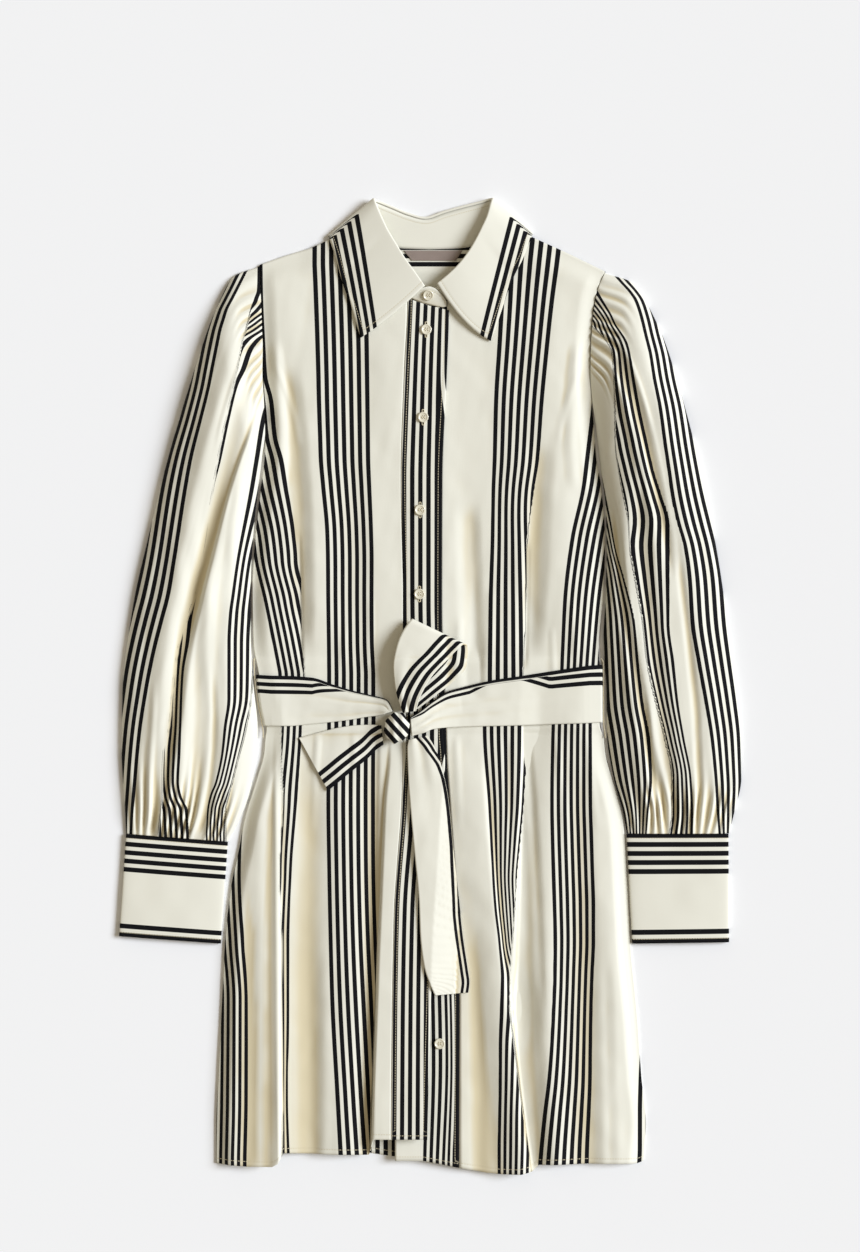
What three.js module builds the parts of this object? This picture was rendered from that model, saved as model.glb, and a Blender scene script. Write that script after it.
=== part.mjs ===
import * as THREE from 'three';

// Sizes are in millimetres. X runs across the dress, Y up to the collar and Z out of its front.
// The dress lies on its back, and its underside rests at Z = 0.
const CLOTH = 1.2;
const GAP = 0.3;
const LAYER = CLOTH + GAP;
const HALF = CLOTH / 2;

const EDGE_RISE = 16;
const ARMHOLE_LIFT = 2;
const ARMHOLE_GAP = 1.1;
const ROLL_RADIUS = 0.95;
const BELT_BACK = { low: -42.5, high: 23.5, ramp: 5 };
const COLLAR_BACK = { low: 408, high: 416, reach: 134, ramp: 28 };
const YOKE_SEAM = 356;
const TOP_BLOCK = 330;
const HEM_BLOCK = -410;
const COVER_STEP = 1.5;
const DRAPE_SLOPE = 0.3;

const CREAM = '#efe9d6';
const SHADED_CREAM = '#e6dfca';
const TAUPE = '#a3968a';
const BUTTON_CREAM = '#e9e3cf';

// Side edges of the body, from the shoulder points to the hem.
const SIDES = {
  columns: ['y', 'left', 'right'],
  rows: [
    [422, -170, 176],
    [415, -170, 175],
    [404, -170, 170],
    [391, -169, 166],
    [376, -168.3, 163.3],
    [355, -167.6, 161.4],
    [341, -167, 160.6],
    [313, -167.3, 160.1],
    [285, -165.8, 162],
    [256, -164.8, 164.4],
    [226, -166, 166.7],
    [200, -169.3, 171.4],
    [145, -175.4, 175.3],
    [93, -178.2, 173.8],
    [42, -177, 169],
    [12, -171.7, 169.6],
    [-14, -168.6, 169.6],
    [-39, -163.7, 169.8],
    [-53, -165.4, 174],
    [-68, -166.7, 175.5],
    [-91, -173, 181.5],
    [-104, -177, 185.5],
    [-134, -186, 193],
    [-162, -191, 195.6],
    [-196, -198.4, 197.3],
    [-231, -203, 199.3],
    [-258, -205.5, 200.8],
    [-334, -209.2, 208],
    [-392, -212.2, 211.8],
    [-438, -213.9, 216.4],
    [-478, -214, 213.7],
  ],
};

// Shoulder line and front neckline, across the dress.
const FRONT_TOP = {
  columns: ['x', 'y'],
  rows: [
    [-170, 422],
    [-146, 430.6],
    [-118, 439],
    [-101, 447],
    [-82, 457],
    [-78, 450.4],
    [-71, 439],
    [-62, 427],
    [-50, 414],
    [-40, 404],
    [-28, 394.5],
    [-18, 387],
    [0, 381],
    [17, 377],
  ],
};
const FRONT_TOP_LEFT = {
  columns: ['x', 'y'],
  rows: [
    [-19, 379.5],
    [0, 380.5],
    [8, 382],
    [17, 385.5],
    [20, 387.5],
    [31, 396],
    [43, 404],
    [54, 415],
    [64, 428],
    [72, 440],
    [78.5, 452],
    [82, 458.5],
    [101.5, 450],
    [110, 446],
    [137, 434],
    [176, 415],
  ],
};
const BACK_TOP = {
  columns: ['x', 'y'],
  rows: [
    [-170, 422],
    [-146, 430.6],
    [-118, 439],
    [-101, 447],
    [-82, 457],
    [-70, 449.5],
    [-50, 441],
    [-28, 438],
    [0, 437],
    [28, 438],
    [50, 441],
    [70, 449.5],
    [82, 458.5],
    [101.5, 450],
    [110, 446],
    [137, 434],
    [176, 415],
  ],
};

// Hems, across the dress.
const HEM_RIGHT = {
  columns: ['x', 'y'],
  rows: [
    [-214, -478],
    [-183, -480.7],
    [-154, -480.7],
    [-147, -467.3],
    [-93, -468.5],
    [-61, -469],
    [-57, -452.5],
    [-39, -452.5],
  ],
};
const HEM_LEFT = {
  columns: ['x', 'y'],
  rows: [
    [-7, -475],
    [29, -482],
    [54.5, -486.7],
    [69, -488.2],
    [89, -488.2],
    [101, -485.7],
    [108, -479.2],
    [158, -478],
    [208, -478],
    [213.7, -476],
  ],
};
const HEM_BACK = {
  columns: ['x', 'y'],
  rows: [
    [-214, -474],
    [-150, -465],
    [-70, -466],
    [-40, -471],
    [-6, -474],
    [70, -474],
    [213.7, -472],
  ],
};
const PLACKET_HEM = -452.5;
const PLACKET_DROP = 0.8;

// Placket, the seam of the button band, and the fold that lifts the placket in the skirt.
const OPENING = {
  columns: ['y', 'placketLeft', 'placketRight', 'bandSeam', 'fold', 'lift'],
  rows: [
    [404, -23, 19, 17, -45, 0],
    [381, -22.8, 19, 17, -45, 0],
    [316, -26, 17, 15.2, -44, 0],
    [206, -29.3, 12.2, 11.4, -43, 0],
    [86, -27, 11.8, 11, -42, 0],
    [-45, -27, 13, 16, -40, 0],
    [-75, -27.6, 15, 17, -41, 2],
    [-114, -28.5, 12, 19.5, -45, 4],
    [-178, -33, 8, 24, -48, 5.5],
    [-224, -36, 5, 27, -50, 6.5],
    [-268, -37, 2.5, 28.4, -52, 7.2],
    [-323, -38, 0.6, 29.5, -54, 8],
    [-452, -39, -2.7, 29, -59, 9.5],
    [-490, -39, -3, 29, -60, 9.5],
  ],
};

// Height of the front over the back, without its folds.
const FULLNESS = {
  columns: ['y', 'rise'],
  rows: [
    [440, 2.5],
    [400, 4.5],
    [341, 6],
    [286, 6.5],
    [200, 6.5],
    [100, 6],
    [50, 4.5],
    [20, 2.2],
    [-45, 2.2],
    [-80, 4],
    [-150, 5.5],
    [-300, 7],
    [-490, 6],
  ],
};

// Lines that the fronts' columns of points follow.
const GUIDES_RIGHT = {
  columns: ['y', 'dart', 'neckPoint'],
  rows: [
    [457, -146, -82],
    [286, -145, -82],
    [146, -131, -84],
    [25, -131, -86],
    [-49, -155, -86],
    [-184, -156, -84],
    [-490, -152, -80],
  ],
};
const GUIDES_LEFT = {
  columns: ['y', 'fold', 'neckPoint'],
  rows: [
    [458, 43, 82],
    [286, 43, 88],
    [146, 45, 96],
    [25, 47, 97],
    [-54, 50, 103],
    [-184, 62, 110],
    [-314, 76, 118],
    [-490, 99, 127],
  ],
};

// Folds of the fronts: a crest from its start to its end, with a width on each side of it.
// A negative height is a valley.
const FRONT_FOLDS = {
  columns: ['startX', 'startY', 'endX', 'endY', 'bow', 'left', 'right', 'startHigh', 'endHigh'],
  rows: [
    [-145, 300, -131, 18, 7, 14, 14, -1.5, -3],
    [-112, 370, -112, 30, 0, 42, 42, 2.5, 2.5],
    [-158, 350, -150, 190, 6, 10, 10, 2.2, 1.4],
    [112, 260, 97, 18, 0, 14, 14, -1.5, -3],
    [124, 370, 134, 30, 0, 40, 36, 2.5, 2.5],
    [150, 350, 146, 190, -6, 10, 10, 2.2, 1.4],
    [-155, -48, -151, -620, 0, 42, 7, 4, 9],
    [-196, -150, -203, -620, 0, 14, 16, 2, 3],
    [-92, -48, -84, -620, 0, 34, 36, 2.5, 5],
    [-122, -60, -120, -620, 0, 16, 16, -1, -2],
    [48, -48, 118, -620, -6, 34, 7, 3, 9],
    [104, -48, 132, -620, 0, 20, 24, 2.5, 5],
    [146, -48, 166, -620, 0, 18, 18, -1.5, -2.5],
    [172, -70, 192, -620, 0, 20, 18, 2, 4],
  ],
};

// Collar, from the centre front of the wearer's right round the back to the other side:
// roll line, neck seam and outer edge, the turn of the fall about the roll, and the bow of its edge.
const COLLAR = {
  columns: ['rollX', 'rollY', 'rollZ', 'seamX', 'seamY', 'edgeX', 'edgeY', 'turn', 'bow'],
  rows: [
    [-6.2, 399, 13.6, -18, 387, -69.3, 348.2, 0, 2.5],
    [-16.5, 413.8, 14.6, -28, 394.5, -75, 366, 0, 1],
    [-25.7, 426.4, 15, -40, 404, -80.4, 383, 0, 0],
    [-34, 440, 15, -50, 414, -85, 396, 0, 0],
    [-43, 455, 14.5, -62, 427, -89.2, 409, 5, 0],
    [-50, 470, 13.5, -71, 439, -93, 424, 15, 0],
    [-54.5, 481, 12, -78, 450.4, -97, 437, 35, 0],
    [-56.5, 486.5, 8.5, -82, 457.3, -102, 450.4, 90, 0],
    [-54, 485.5, 5.2, -79, 456, -99.2, 450.2, 145, 0],
    [-49, 483.5, 3.8, -70, 449.5, -92, 437, 170, 0],
    [-38, 479, 3.2, -50, 441, -70, 428, 180, 0],
    [-22, 472.5, 3, -28, 438, -40, 422, 180, 0],
    [-5, 468.5, 3, 0, 437, 0, 420, 180, 0],
    [14, 474.5, 3, 28, 438, 40, 422, 180, 0],
    [34, 480, 3.2, 50, 441, 70, 428, 180, 0],
    [52, 484.5, 3.8, 70, 449.5, 92, 438, 170, 0],
    [59.5, 486.8, 5.2, 79, 456, 100.6, 453.4, 145, 0],
    [63, 487, 8.5, 82, 458.5, 103, 453, 90, 0],
    [61, 481, 12, 78.5, 452, 97.5, 440, 35, 0],
    [58, 470, 13.5, 72, 440, 92.7, 427, 15, 0],
    [52.4, 457.4, 14.5, 64, 428, 86, 414, 5, 0],
    [42, 437.5, 15, 54, 415, 79, 398, 0, 0],
    [30.5, 421.8, 15, 43, 404, 73, 380, 0, 1],
    [20.2, 411.5, 14.6, 31, 396, 67, 362, 0, 4],
    [7.5, 401, 13.6, 20, 387.5, 61, 345, 0, 8],
  ],
};

// Ends of the collar stand past the fall: the tab in front, and the end that lies under it.
const STAND_TAB = {
  columns: ['topX', 'topY', 'seamX', 'seamY', 'rise'],
  rows: [
    [16.5, 384.5, 16.5, 379.5, 1.2],
    [12, 391, 12.5, 378.8, 3],
    [4, 398, 4, 380.2, 4.2],
    [-1, 399.5, -7, 383.2, 4.4],
  ],
};
const STAND_UNDER = {
  columns: ['topX', 'topY', 'seamX', 'seamY', 'rise'],
  rows: [
    [1, 396, 9, 382.8, 1.6],
    [-7, 391, -4, 380.9, 0.2],
    [-14, 388, -14, 380.4, 0],
  ],
};

// Sleeves from the armhole to the cuff: outer and inner edges, height of the cloth and gathers.
const SLEEVE_RIGHT = {
  columns: ['outerX', 'outerY', 'innerX', 'innerY', 'high', 'gather'],
  rows: [
    [-171, 421.5, -164.7, 256, 6.2, 0.8],
    [-195.3, 411, -168, 231, 17, 2.2],
    [-217, 371, -172.2, 196, 25, 1.2],
    [-238, 310, -176.6, 156, 25, 0],
    [-260, 237, -179.4, 106, 23, 0],
    [-281, 154, -179.6, 56, 21, 0],
    [-298, 77, -177.2, 6, 20, 0],
    [-308, -4, -172.6, -44, 19, 0],
    [-309, -64, -178.8, -99, 17.5, 0.3],
    [-305.5, -124, -192, -136, 14, 2.2],
    [-304.5, -148, -202.4, -156, 8.6, 1.1],
  ],
};
const SLEEVE_LEFT = {
  columns: ['outerX', 'outerY', 'innerX', 'innerY', 'high', 'gather'],
  rows: [
    [176.4, 414.5, 162.8, 285, 6.2, 0.8],
    [201, 405, 166, 261, 17, 2.2],
    [232, 353, 171, 218, 25, 1.2],
    [250, 298, 176, 178, 25, 0],
    [262.6, 252, 177, 138, 24, 0],
    [278, 184, 176, 92, 22, 0],
    [289, 126, 173.8, 46, 20, 0],
    [301, 42, 176.8, -4, 19, 0],
    [311, -37, 177.4, -49, 18, 0],
    [312, -91, 184.4, -94, 17, 0.3],
    [306, -122, 193.2, -126, 14, 2.2],
    [299.6, -147.9, 197.2, -147.9, 8.6, 1.1],
  ],
};

// Long folds of the sleeves: share of the width and place along the rows above.
const SLEEVE_FOLDS_RIGHT = {
  columns: ['startShare', 'endShare', 'startRow', 'endRow', 'left', 'right', 'startHigh', 'endHigh'],
  rows: [
    [0.62, 0.5, 0.7, 5.2, 0.12, 0.1, -4, -5],
    [0.34, 0.28, 1, 9.6, 0.12, 0.12, 2.5, 2],
    [0.5, 0.62, 4, 9.8, 0.1, 0.1, -2, -3.5],
    [0.78, 0.8, 2, 9, 0.1, 0.1, 2, 2.5],
  ],
};
const SLEEVE_FOLDS_LEFT = {
  columns: ['startShare', 'endShare', 'startRow', 'endRow', 'left', 'right', 'startHigh', 'endHigh'],
  rows: [
    [0.5, 0.42, 0.7, 6, 0.1, 0.1, -3, -4.5],
    [0.24, 0.22, 1, 10, 0.12, 0.12, 2.5, 2],
    [0.66, 0.55, 3, 10.6, 0.1, 0.1, -3, -4],
    [0.82, 0.78, 3, 10, 0.1, 0.1, 2, 2.5],
  ],
};
const SLEEVE_ROWS_RIGHT = [0, 0.45, 1, 1.6, 2.3, 3, 4, 5, 6, 7, 8, 8.6, 9, 9.5, 10];
const SLEEVE_ROWS_LEFT = [0, 0.45, 1, 1.6, 2.3, 3, 4, 5, 6, 7, 8, 9, 9.5, 10, 10.5, 11];
const GATHER_POINTS = 26;

// Cuffs, by their corners.
const CUFFS = {
  columns: ['name', 'outerTopX', 'outerTopY', 'innerTopX', 'innerTopY',
    'outerLowX', 'outerLowY', 'innerLowX', 'innerLowY'],
  rows: [
    ['cuff_right', -304.5, -148.4, -202.4, -156.4, -311.4, -250.5, -209.5, -258],
    ['cuff_left', 299, -148.2, 196.8, -148.2, 299.6, -256.6, 202.4, -258],
  ],
};
const CUFF_HIGH = 7.2;

// Belt, from the knot round the wearer's right, under the back and round to the knot again.
const BELT_FRONT_RIGHT = {
  columns: ['topX', 'topY', 'lowX', 'lowY', 'rise', 'crease'],
  rows: [
    [-36.5, -25, -46.2, -27.8, 5, 0],
    [-43.2, -13.8, -52, -29.5, 2.5, 1.6],
    [-60, -9, -64, -31, 1, 1.8],
    [-78, -4.5, -82, -34, 0.6, 1.6],
    [-96, 1, -98, -36, 0.3, 1.2],
    [-118, 8.3, -118, -38, 0.2, 0.8],
    [-140, 10, -140, -40, 0.2, 0.4],
    [-150, 10.2, -150, -40, 0.4, 0.2],
    [-160, 10.4, -158, -40, 0.2, 0],
  ],
};
const BELT_FRONT_LEFT = {
  columns: ['topX', 'topY', 'lowX', 'lowY', 'rise', 'crease'],
  rows: [
    [160, 20.4, 160, -37, 0.2, 0],
    [150, 19, 150, -37.4, 0.4, 0.1],
    [130, 16, 130, -38, 0.2, 0.2],
    [90, 9.7, 90, -39.4, 0.2, 0.4],
    [65, 6, 65, -40, 0.2, 0.8],
    [36, -0.5, 40, -40.5, 0.4, 1.2],
    [18, -5.5, 17, -41.5, 0.8, 1.6],
    [3, -15, 3, -43, 2, 1.8],
    [-10.5, -25.5, -5, -46.2, 4, 1.4],
    [-19.6, -31, -18.4, -50, 5.5, 0],
  ],
};
const BELT_ENDS = {
  columns: ['across', 'rightX', 'rightY', 'leftX', 'leftY'],
  rows: [
    [0, -174, 11, 172.3, 21],
    [0.5, -171, -14, 172.3, -8],
    [1, -166, -40, 172.3, -36.5],
  ],
};

// Strips of the bow: both edges of each section, and its height over what it lies on.
const BELT_LOOP = {
  columns: ['leftX', 'leftY', 'rightX', 'rightY', 'rise'],
  rows: [
    [-27, -26.6, -14, -24.8, 9],
    [-34, -4, -11, -14, 12],
    [-36.6, 20, 1, 8.5, 13],
    [-33, 41, 18, 27, 11.5],
    [-26, 57, 28, 37, 9.6],
    [-20.5, 64.4, 33.5, 41.5, 8.2],
    [-18.2, 67, 37, 40.5, 5.6],
    [-20.5, 64, 37.6, 35, 3.4],
    [-27, 52, 36, 20, 3],
    [-32, 31, 26, 7, 2.8],
    [-30, 1, 7, -8.4, 2.8],
    [-26, -25.6, -12, -22.6, 3],
  ],
};
const BELT_TAIL_SHORT = {
  columns: ['leftX', 'leftY', 'rightX', 'rightY', 'rise'],
  rows: [
    [-48.6, -39.4, -46.6, -58.6, 3.5],
    [-60, -38.9, -53, -63, 2],
    [-74, -39.4, -62.3, -72.4, 1.2],
    [-90, -41.5, -73, -81, 1],
    [-105, -45, -83, -89, 0.8],
    [-118, -48.4, -92.5, -97, 0.7],
    [-131.2, -52, -102, -104.7, 0.6],
  ],
};
const BELT_TAIL_LONG = {
  columns: ['leftX', 'leftY', 'rightX', 'rightY', 'rise'],
  rows: [
    [-21.2, -53.8, -2.6, -49.4, 5.6],
    [-22.6, -63, 5, -62, 3.8],
    [-21.8, -90, 13.5, -88, 2.6],
    [-19.7, -119, 19, -119, 2],
    [-15.4, -167, 23.6, -167, 2.6],
    [-11, -214, 29, -214, 2],
    [-9.6, -250, 33, -250, 1],
    [-5.5, -281, 38, -284, 1.1],
    [0, -297, 39.6, -296, 1],
    [5, -308.5, 38.4, -306.5, 0.8],
  ],
};
const KNOT = {
  columns: ['along', 'halfWide', 'halfHigh'],
  rows: [
    [0, 9.6, 4.4],
    [0.2, 13.4, 6.1],
    [0.5, 15.5, 7.2],
    [0.8, 13.4, 6.1],
    [1, 9.6, 4.6],
  ],
};
const KNOT_START = [-45.2, -39.4];
const KNOT_END = [-21.2, -43.6];
const KNOT_CENTRE_Z = 16;

// Thread carriers at the side seams: their path round the outside of the belt.
const CARRIERS = {
  columns: ['y', 'rightX', 'leftX', 'z'],
  rows: [
    [28, -176.1, 170.8, 4.2],
    [24, -176.3, 173.4, 4],
    [12, -175.9, 173.9, 3.4],
    [-12, -173.2, 173.9, 3],
    [-38, -168.2, 174, 3.2],
    [-46, -167.2, 175, 3.6],
    [-52, -167, 175.8, 4.2],
  ],
};
const CARRIER_WIDE = 1.6;

// Neck label, by its corners.
const LABEL = { top: 436, low: 426, topLeft: -26.5, topRight: 32.5, lowLeft: -18.3, lowRight: 26 };
const LABEL_THICK = 0.6;

// Buttons: where each one sits and what it lies on.
const BUTTONS = {
  columns: ['x', 'y', 'on'],
  rows: [
    [-1.8, 391.2, 'tab'],
    [-3.8, 356.4, 'placket'],
    [-6.9, 268.7, 'placket'],
    [-10, 176, 'placket'],
    [-10.5, 92, 'placket'],
    [-10, 2, 'placket'],
    [-9, -88, 'placket'],
    [-9, -178, 'placket'],
    [8.8, -268, 'band'],
    [9.6, -357.6, 'band'],
  ],
};
const BUTTON_PROFILE = [[4.4, 0], [5.4, 0.8], [5.1, 1.9], [4.1, 2.2], [3.3, 1.6]];
const BUTTON_SEGMENTS = 14;

const clamp = (value) => Math.min(1, Math.max(0, value));
const smooth = (value) => clamp(value) ** 2 * (3 - 2 * clamp(value));
const mix = (from, to, share) => from + (to - from) * share;

/** Column of a table as a function of its first column, smooth and without overshoot. */
function along(table, name, byRow = false) {
  const at = table.columns.indexOf(name);
  const points = table.rows.map((row, index) => [byRow ? index : row[0], row[at]]);
  points.sort((a, b) => a[0] - b[0]);
  const steps = points.slice(1).map((point, i) => (point[1] - points[i][1]) / (point[0] - points[i][0]));
  const slopes = points.map((_, i) => {
    const before = steps[Math.max(0, i - 1)];
    const after = steps[Math.min(steps.length - 1, i)];
    return before * after <= 0 ? 0 : (2 * before * after) / (before + after);
  });
  return (key) => {
    const inside = Math.min(points[points.length - 1][0], Math.max(points[0][0], key));
    let i = points.findIndex((point) => point[0] >= inside) - 1;
    i = Math.max(0, i);
    const width = points[i + 1][0] - points[i][0];
    const t = (inside - points[i][0]) / width;
    const rise = points[i + 1][1] - points[i][1];
    const ease = t * t * (3 - 2 * t);
    const start = width * slopes[i] * t * (1 - t) * (1 - t);
    const end = width * slopes[i + 1] * t * t * (1 - t);
    return points[i][1] + rise * ease + start - end;
  };
}

/** Every column of a table as a function of the row, for tables whose rows are sections. */
function sections(table) {
  const reads = table.columns.map((name) => [name, along(table, name, true)]);
  return (row) => Object.fromEntries(reads.map(([name, read]) => [name, read(row)]));
}

/** Straight steps between corner points, for outlines that have corners. */
function outline(table) {
  const { rows } = table;
  return (x) => {
    const next = rows.findIndex((row) => row[0] >= x);
    if (next === 0) return rows[0][1];
    if (next < 0) return rows[rows.length - 1][1];
    const [a, b] = [rows[next - 1], rows[next]];
    return mix(a[1], b[1], (x - a[0]) / (b[0] - a[0]));
  };
}

const leftSide = along(SIDES, 'left');
const rightSide = along(SIDES, 'right');
const placketLeft = along(OPENING, 'placketLeft');
const placketRight = along(OPENING, 'placketRight');
const bandSeam = along(OPENING, 'bandSeam');
const foldLine = along(OPENING, 'fold');
const foldLift = along(OPENING, 'lift');
const fullness = along(FULLNESS, 'rise');
const shoulder = outline(BACK_TOP);

/** Height that a fold adds: an uneven bell across its crest, faded in at its start. */
function foldHeight(row, x, y) {
  const [startX, startY, endX, endY, bow, left, right, startHigh, endHigh] = row;
  const t = (startY - y) / (startY - endY);
  if (t <= 0 || t >= 1) return 0;
  const crest = mix(startX, endX, t) + bow * 4 * t * (1 - t);
  const away = x < crest ? (crest - x) / left : (x - crest) / right;
  const fade = smooth(t / 0.14) * smooth((1 - t) / 0.14);
  return mix(startHigh, endHigh, t) * fade * smooth(1 - away);
}

/** Middle of the back's cloth: flat, and lifted over the belt and over the back of the collar. */
function backZ(x, y) {
  const { low, high, ramp } = BELT_BACK;
  const overBelt = smooth((y - low + ramp) / ramp) * smooth((high + ramp - y) / ramp);
  const { reach, ramp: side } = COLLAR_BACK;
  const across = smooth((reach - Math.abs(x)) / side);
  const overCollar = smooth((y - COLLAR_BACK.low) / (COLLAR_BACK.high - COLLAR_BACK.low)) * across;
  return HALF + LAYER * Math.max(overBelt, overCollar);
}

/** Middle of the front's lower cloth: edges on the back, a rise inwards and the folds on it. */
function frontZ(x, y) {
  const edge = Math.min(x - leftSide(y), rightSide(y) - x);
  const rise = smooth(edge / EDGE_RISE);
  const below = Math.abs(x) > 82 ? smooth((shoulder(x) - y) / 24) : smooth(0.5 + (458 - y) / 24);
  const armhole = ARMHOLE_LIFT * smooth((y - 270) / 30) * (1 - rise) * below;
  const folds = FRONT_FOLDS.rows.reduce((sum, row) => sum + foldHeight(row, x, y), 0);
  return backZ(x, y) + LAYER + (fullness(y) + folds) * rise * below + armhole;
}

/** Middle of the wearer's right front, which climbs to the placket sewn to its edge. */
function rightZ(x, y) {
  const climb = LAYER * smooth((x - placketLeft(y) + 45) / 45);
  const lifted = foldLift(y) * smooth((x - foldLine(y) + 2) / 4);
  return frontZ(x, y) + climb + lifted;
}

function placketZ(x, y) {
  return frontZ(x, y) + LAYER + foldLift(y);
}

/** Middle of the topmost cloth of the body at a point. */
function topZ(x, y) {
  if (x < placketLeft(y)) return rightZ(x, y);
  if (x < placketRight(y)) return placketZ(x, y);
  return frontZ(x, y);
}

/** Height of cloth drawn over that cloth: it falls away from high places no steeper than it drapes. */
function coverZ(x, y, reach) {
  let high = 0;
  for (let dx = -reach; dx <= reach; dx += COVER_STEP) {
    for (const dy of [-COVER_STEP, 0, COVER_STEP]) {
      high = Math.max(high, topZ(x + dx, y + dy) - DRAPE_SLOPE * Math.abs(dx));
    }
  }
  return high;
}

/** Closed mesh of the given points and quads, turned so that its faces point outwards. */
function solid(points, quads) {
  const index = [];
  for (const [a, b, c, d] of quads) {
    index.push(a, b, c);
    if (d !== undefined) index.push(a, c, d);
  }
  let volume = 0;
  for (let i = 0; i < index.length; i += 3) {
    const [a, b, c] = [points[index[i]], points[index[i + 1]], points[index[i + 2]]];
    volume += a.dot(b.clone().cross(c));
  }
  if (volume < 0) index.reverse();
  const geometry = new THREE.BufferGeometry();
  geometry.setAttribute('position', new THREE.Float32BufferAttribute(points.flatMap((p) => p.toArray()), 3));
  geometry.setIndex(index);
  geometry.computeVertexNormals();
  return geometry;
}

/** Unit normals of a grid of points, each the mean of the faces round it. */
function gridNormals(grid, around) {
  const [rows, columns] = [grid.length, grid[0].length];
  const normals = grid.map((row) => row.map(() => new THREE.Vector3()));
  const lastColumn = around ? columns : columns - 1;
  for (let i = 0; i < rows - 1; i += 1) {
    for (let j = 0; j < lastColumn; j += 1) {
      const corners = [[i, j], [i, (j + 1) % columns], [i + 1, (j + 1) % columns], [i + 1, j]];
      const [a, b, c, d] = corners.map(([m, n]) => grid[m][n]);
      const face = c.clone().sub(a).cross(d.clone().sub(b));
      corners.forEach(([m, n]) => normals[m][n].add(face));
    }
  }
  normals.forEach((row) => row.forEach((normal) => normal.normalize()));
  return normals;
}

/** Sheet of cloth: a wall of even thickness about a grid of points on its middle. */
function sheet(grid, thickness = CLOTH) {
  const [rows, columns] = [grid.length, grid[0].length];
  const normals = gridNormals(grid, false);
  const points = [];
  for (const side of [0.5, -0.5]) {
    grid.forEach((row, i) => row.forEach((point, j) => {
      points.push(point.clone().addScaledVector(normals[i][j], side * thickness));
    }));
  }
  const under = rows * columns;
  const at = (i, j) => i * columns + j;
  const quads = [];
  for (let i = 0; i < rows - 1; i += 1) {
    for (let j = 0; j < columns - 1; j += 1) {
      const quad = [at(i, j), at(i, j + 1), at(i + 1, j + 1), at(i + 1, j)];
      quads.push(quad, quad.map((k) => k + under).reverse());
    }
  }
  const rim = [];
  for (let j = 0; j < columns - 1; j += 1) rim.push([at(0, j + 1), at(0, j)]);
  for (let j = 0; j < columns - 1; j += 1) rim.push([at(rows - 1, j), at(rows - 1, j + 1)]);
  for (let i = 0; i < rows - 1; i += 1) rim.push([at(i, 0), at(i + 1, 0)]);
  for (let i = 0; i < rows - 1; i += 1) rim.push([at(i + 1, columns - 1), at(i, columns - 1)]);
  rim.forEach(([a, b]) => quads.push([a, b, b + under, a + under]));
  return solid(points, quads);
}

/** Open tube of cloth: rings of points on its outside, and a wall inside them. */
function tube(rings, thickness = CLOTH) {
  const [rows, columns] = [rings.length, rings[0].length];
  const normals = gridNormals(rings, true);
  const centre = rings[1].reduce((sum, p) => sum.add(p), new THREE.Vector3()).divideScalar(columns);
  const outward = normals[1].reduce((sum, normal, j) => (
    sum + normal.dot(rings[1][j].clone().sub(centre))
  ), 0);
  const inset = -Math.sign(outward) * thickness;
  const points = rings.flat().map((point) => point.clone());
  rings.forEach((ring, i) => ring.forEach((point, j) => {
    points.push(point.clone().addScaledVector(normals[i][j], inset));
  }));
  const inner = rows * columns;
  const at = (i, j) => i * columns + (j % columns);
  const quads = [];
  for (let i = 0; i < rows - 1; i += 1) {
    for (let j = 0; j < columns; j += 1) {
      const quad = [at(i, j), at(i, j + 1), at(i + 1, j + 1), at(i + 1, j)];
      quads.push(quad, quad.map((k) => k + inner).reverse());
    }
  }
  for (let j = 0; j < columns; j += 1) {
    quads.push([at(0, j + 1), at(0, j), at(0, j) + inner, at(0, j + 1) + inner]);
    const [a, b] = [at(rows - 1, j), at(rows - 1, j + 1)];
    quads.push([a, b, b + inner, a + inner]);
  }
  return solid(points, quads);
}

/** Disc turned about an upright axis from a profile of radius and height. */
function turned(profile, segments) {
  const points = [new THREE.Vector3(0, 0, profile[0][1])];
  profile.forEach(([radius, z]) => {
    for (let k = 0; k < segments; k += 1) {
      const angle = (2 * Math.PI * k) / segments;
      points.push(new THREE.Vector3(radius * Math.cos(angle), radius * Math.sin(angle), z));
    }
  });
  const top = points.length;
  points.push(new THREE.Vector3(0, 0, profile[profile.length - 1][1]));
  const at = (ring, k) => 1 + ring * segments + (k % segments);
  const quads = [];
  for (let k = 0; k < segments; k += 1) {
    quads.push([0, at(0, k + 1), at(0, k)]);
    for (let ring = 0; ring < profile.length - 1; ring += 1) {
      quads.push([at(ring, k), at(ring, k + 1), at(ring + 1, k + 1), at(ring + 1, k)]);
    }
    quads.push([at(profile.length - 1, k), at(profile.length - 1, k + 1), top]);
  }
  return solid(points, quads);
}

/** Shares from 0 to 1 through guide lines: even steps between each pair of them. */
function columnsBetween(guides) {
  const places = [];
  guides.forEach((guide, k) => {
    if (k === guides.length - 1) {
      places.push([k, 0]);
      return;
    }
    for (let step = 0; step < guide.steps; step += 1) places.push([k, step / guide.steps]);
  });
  return places;
}

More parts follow.
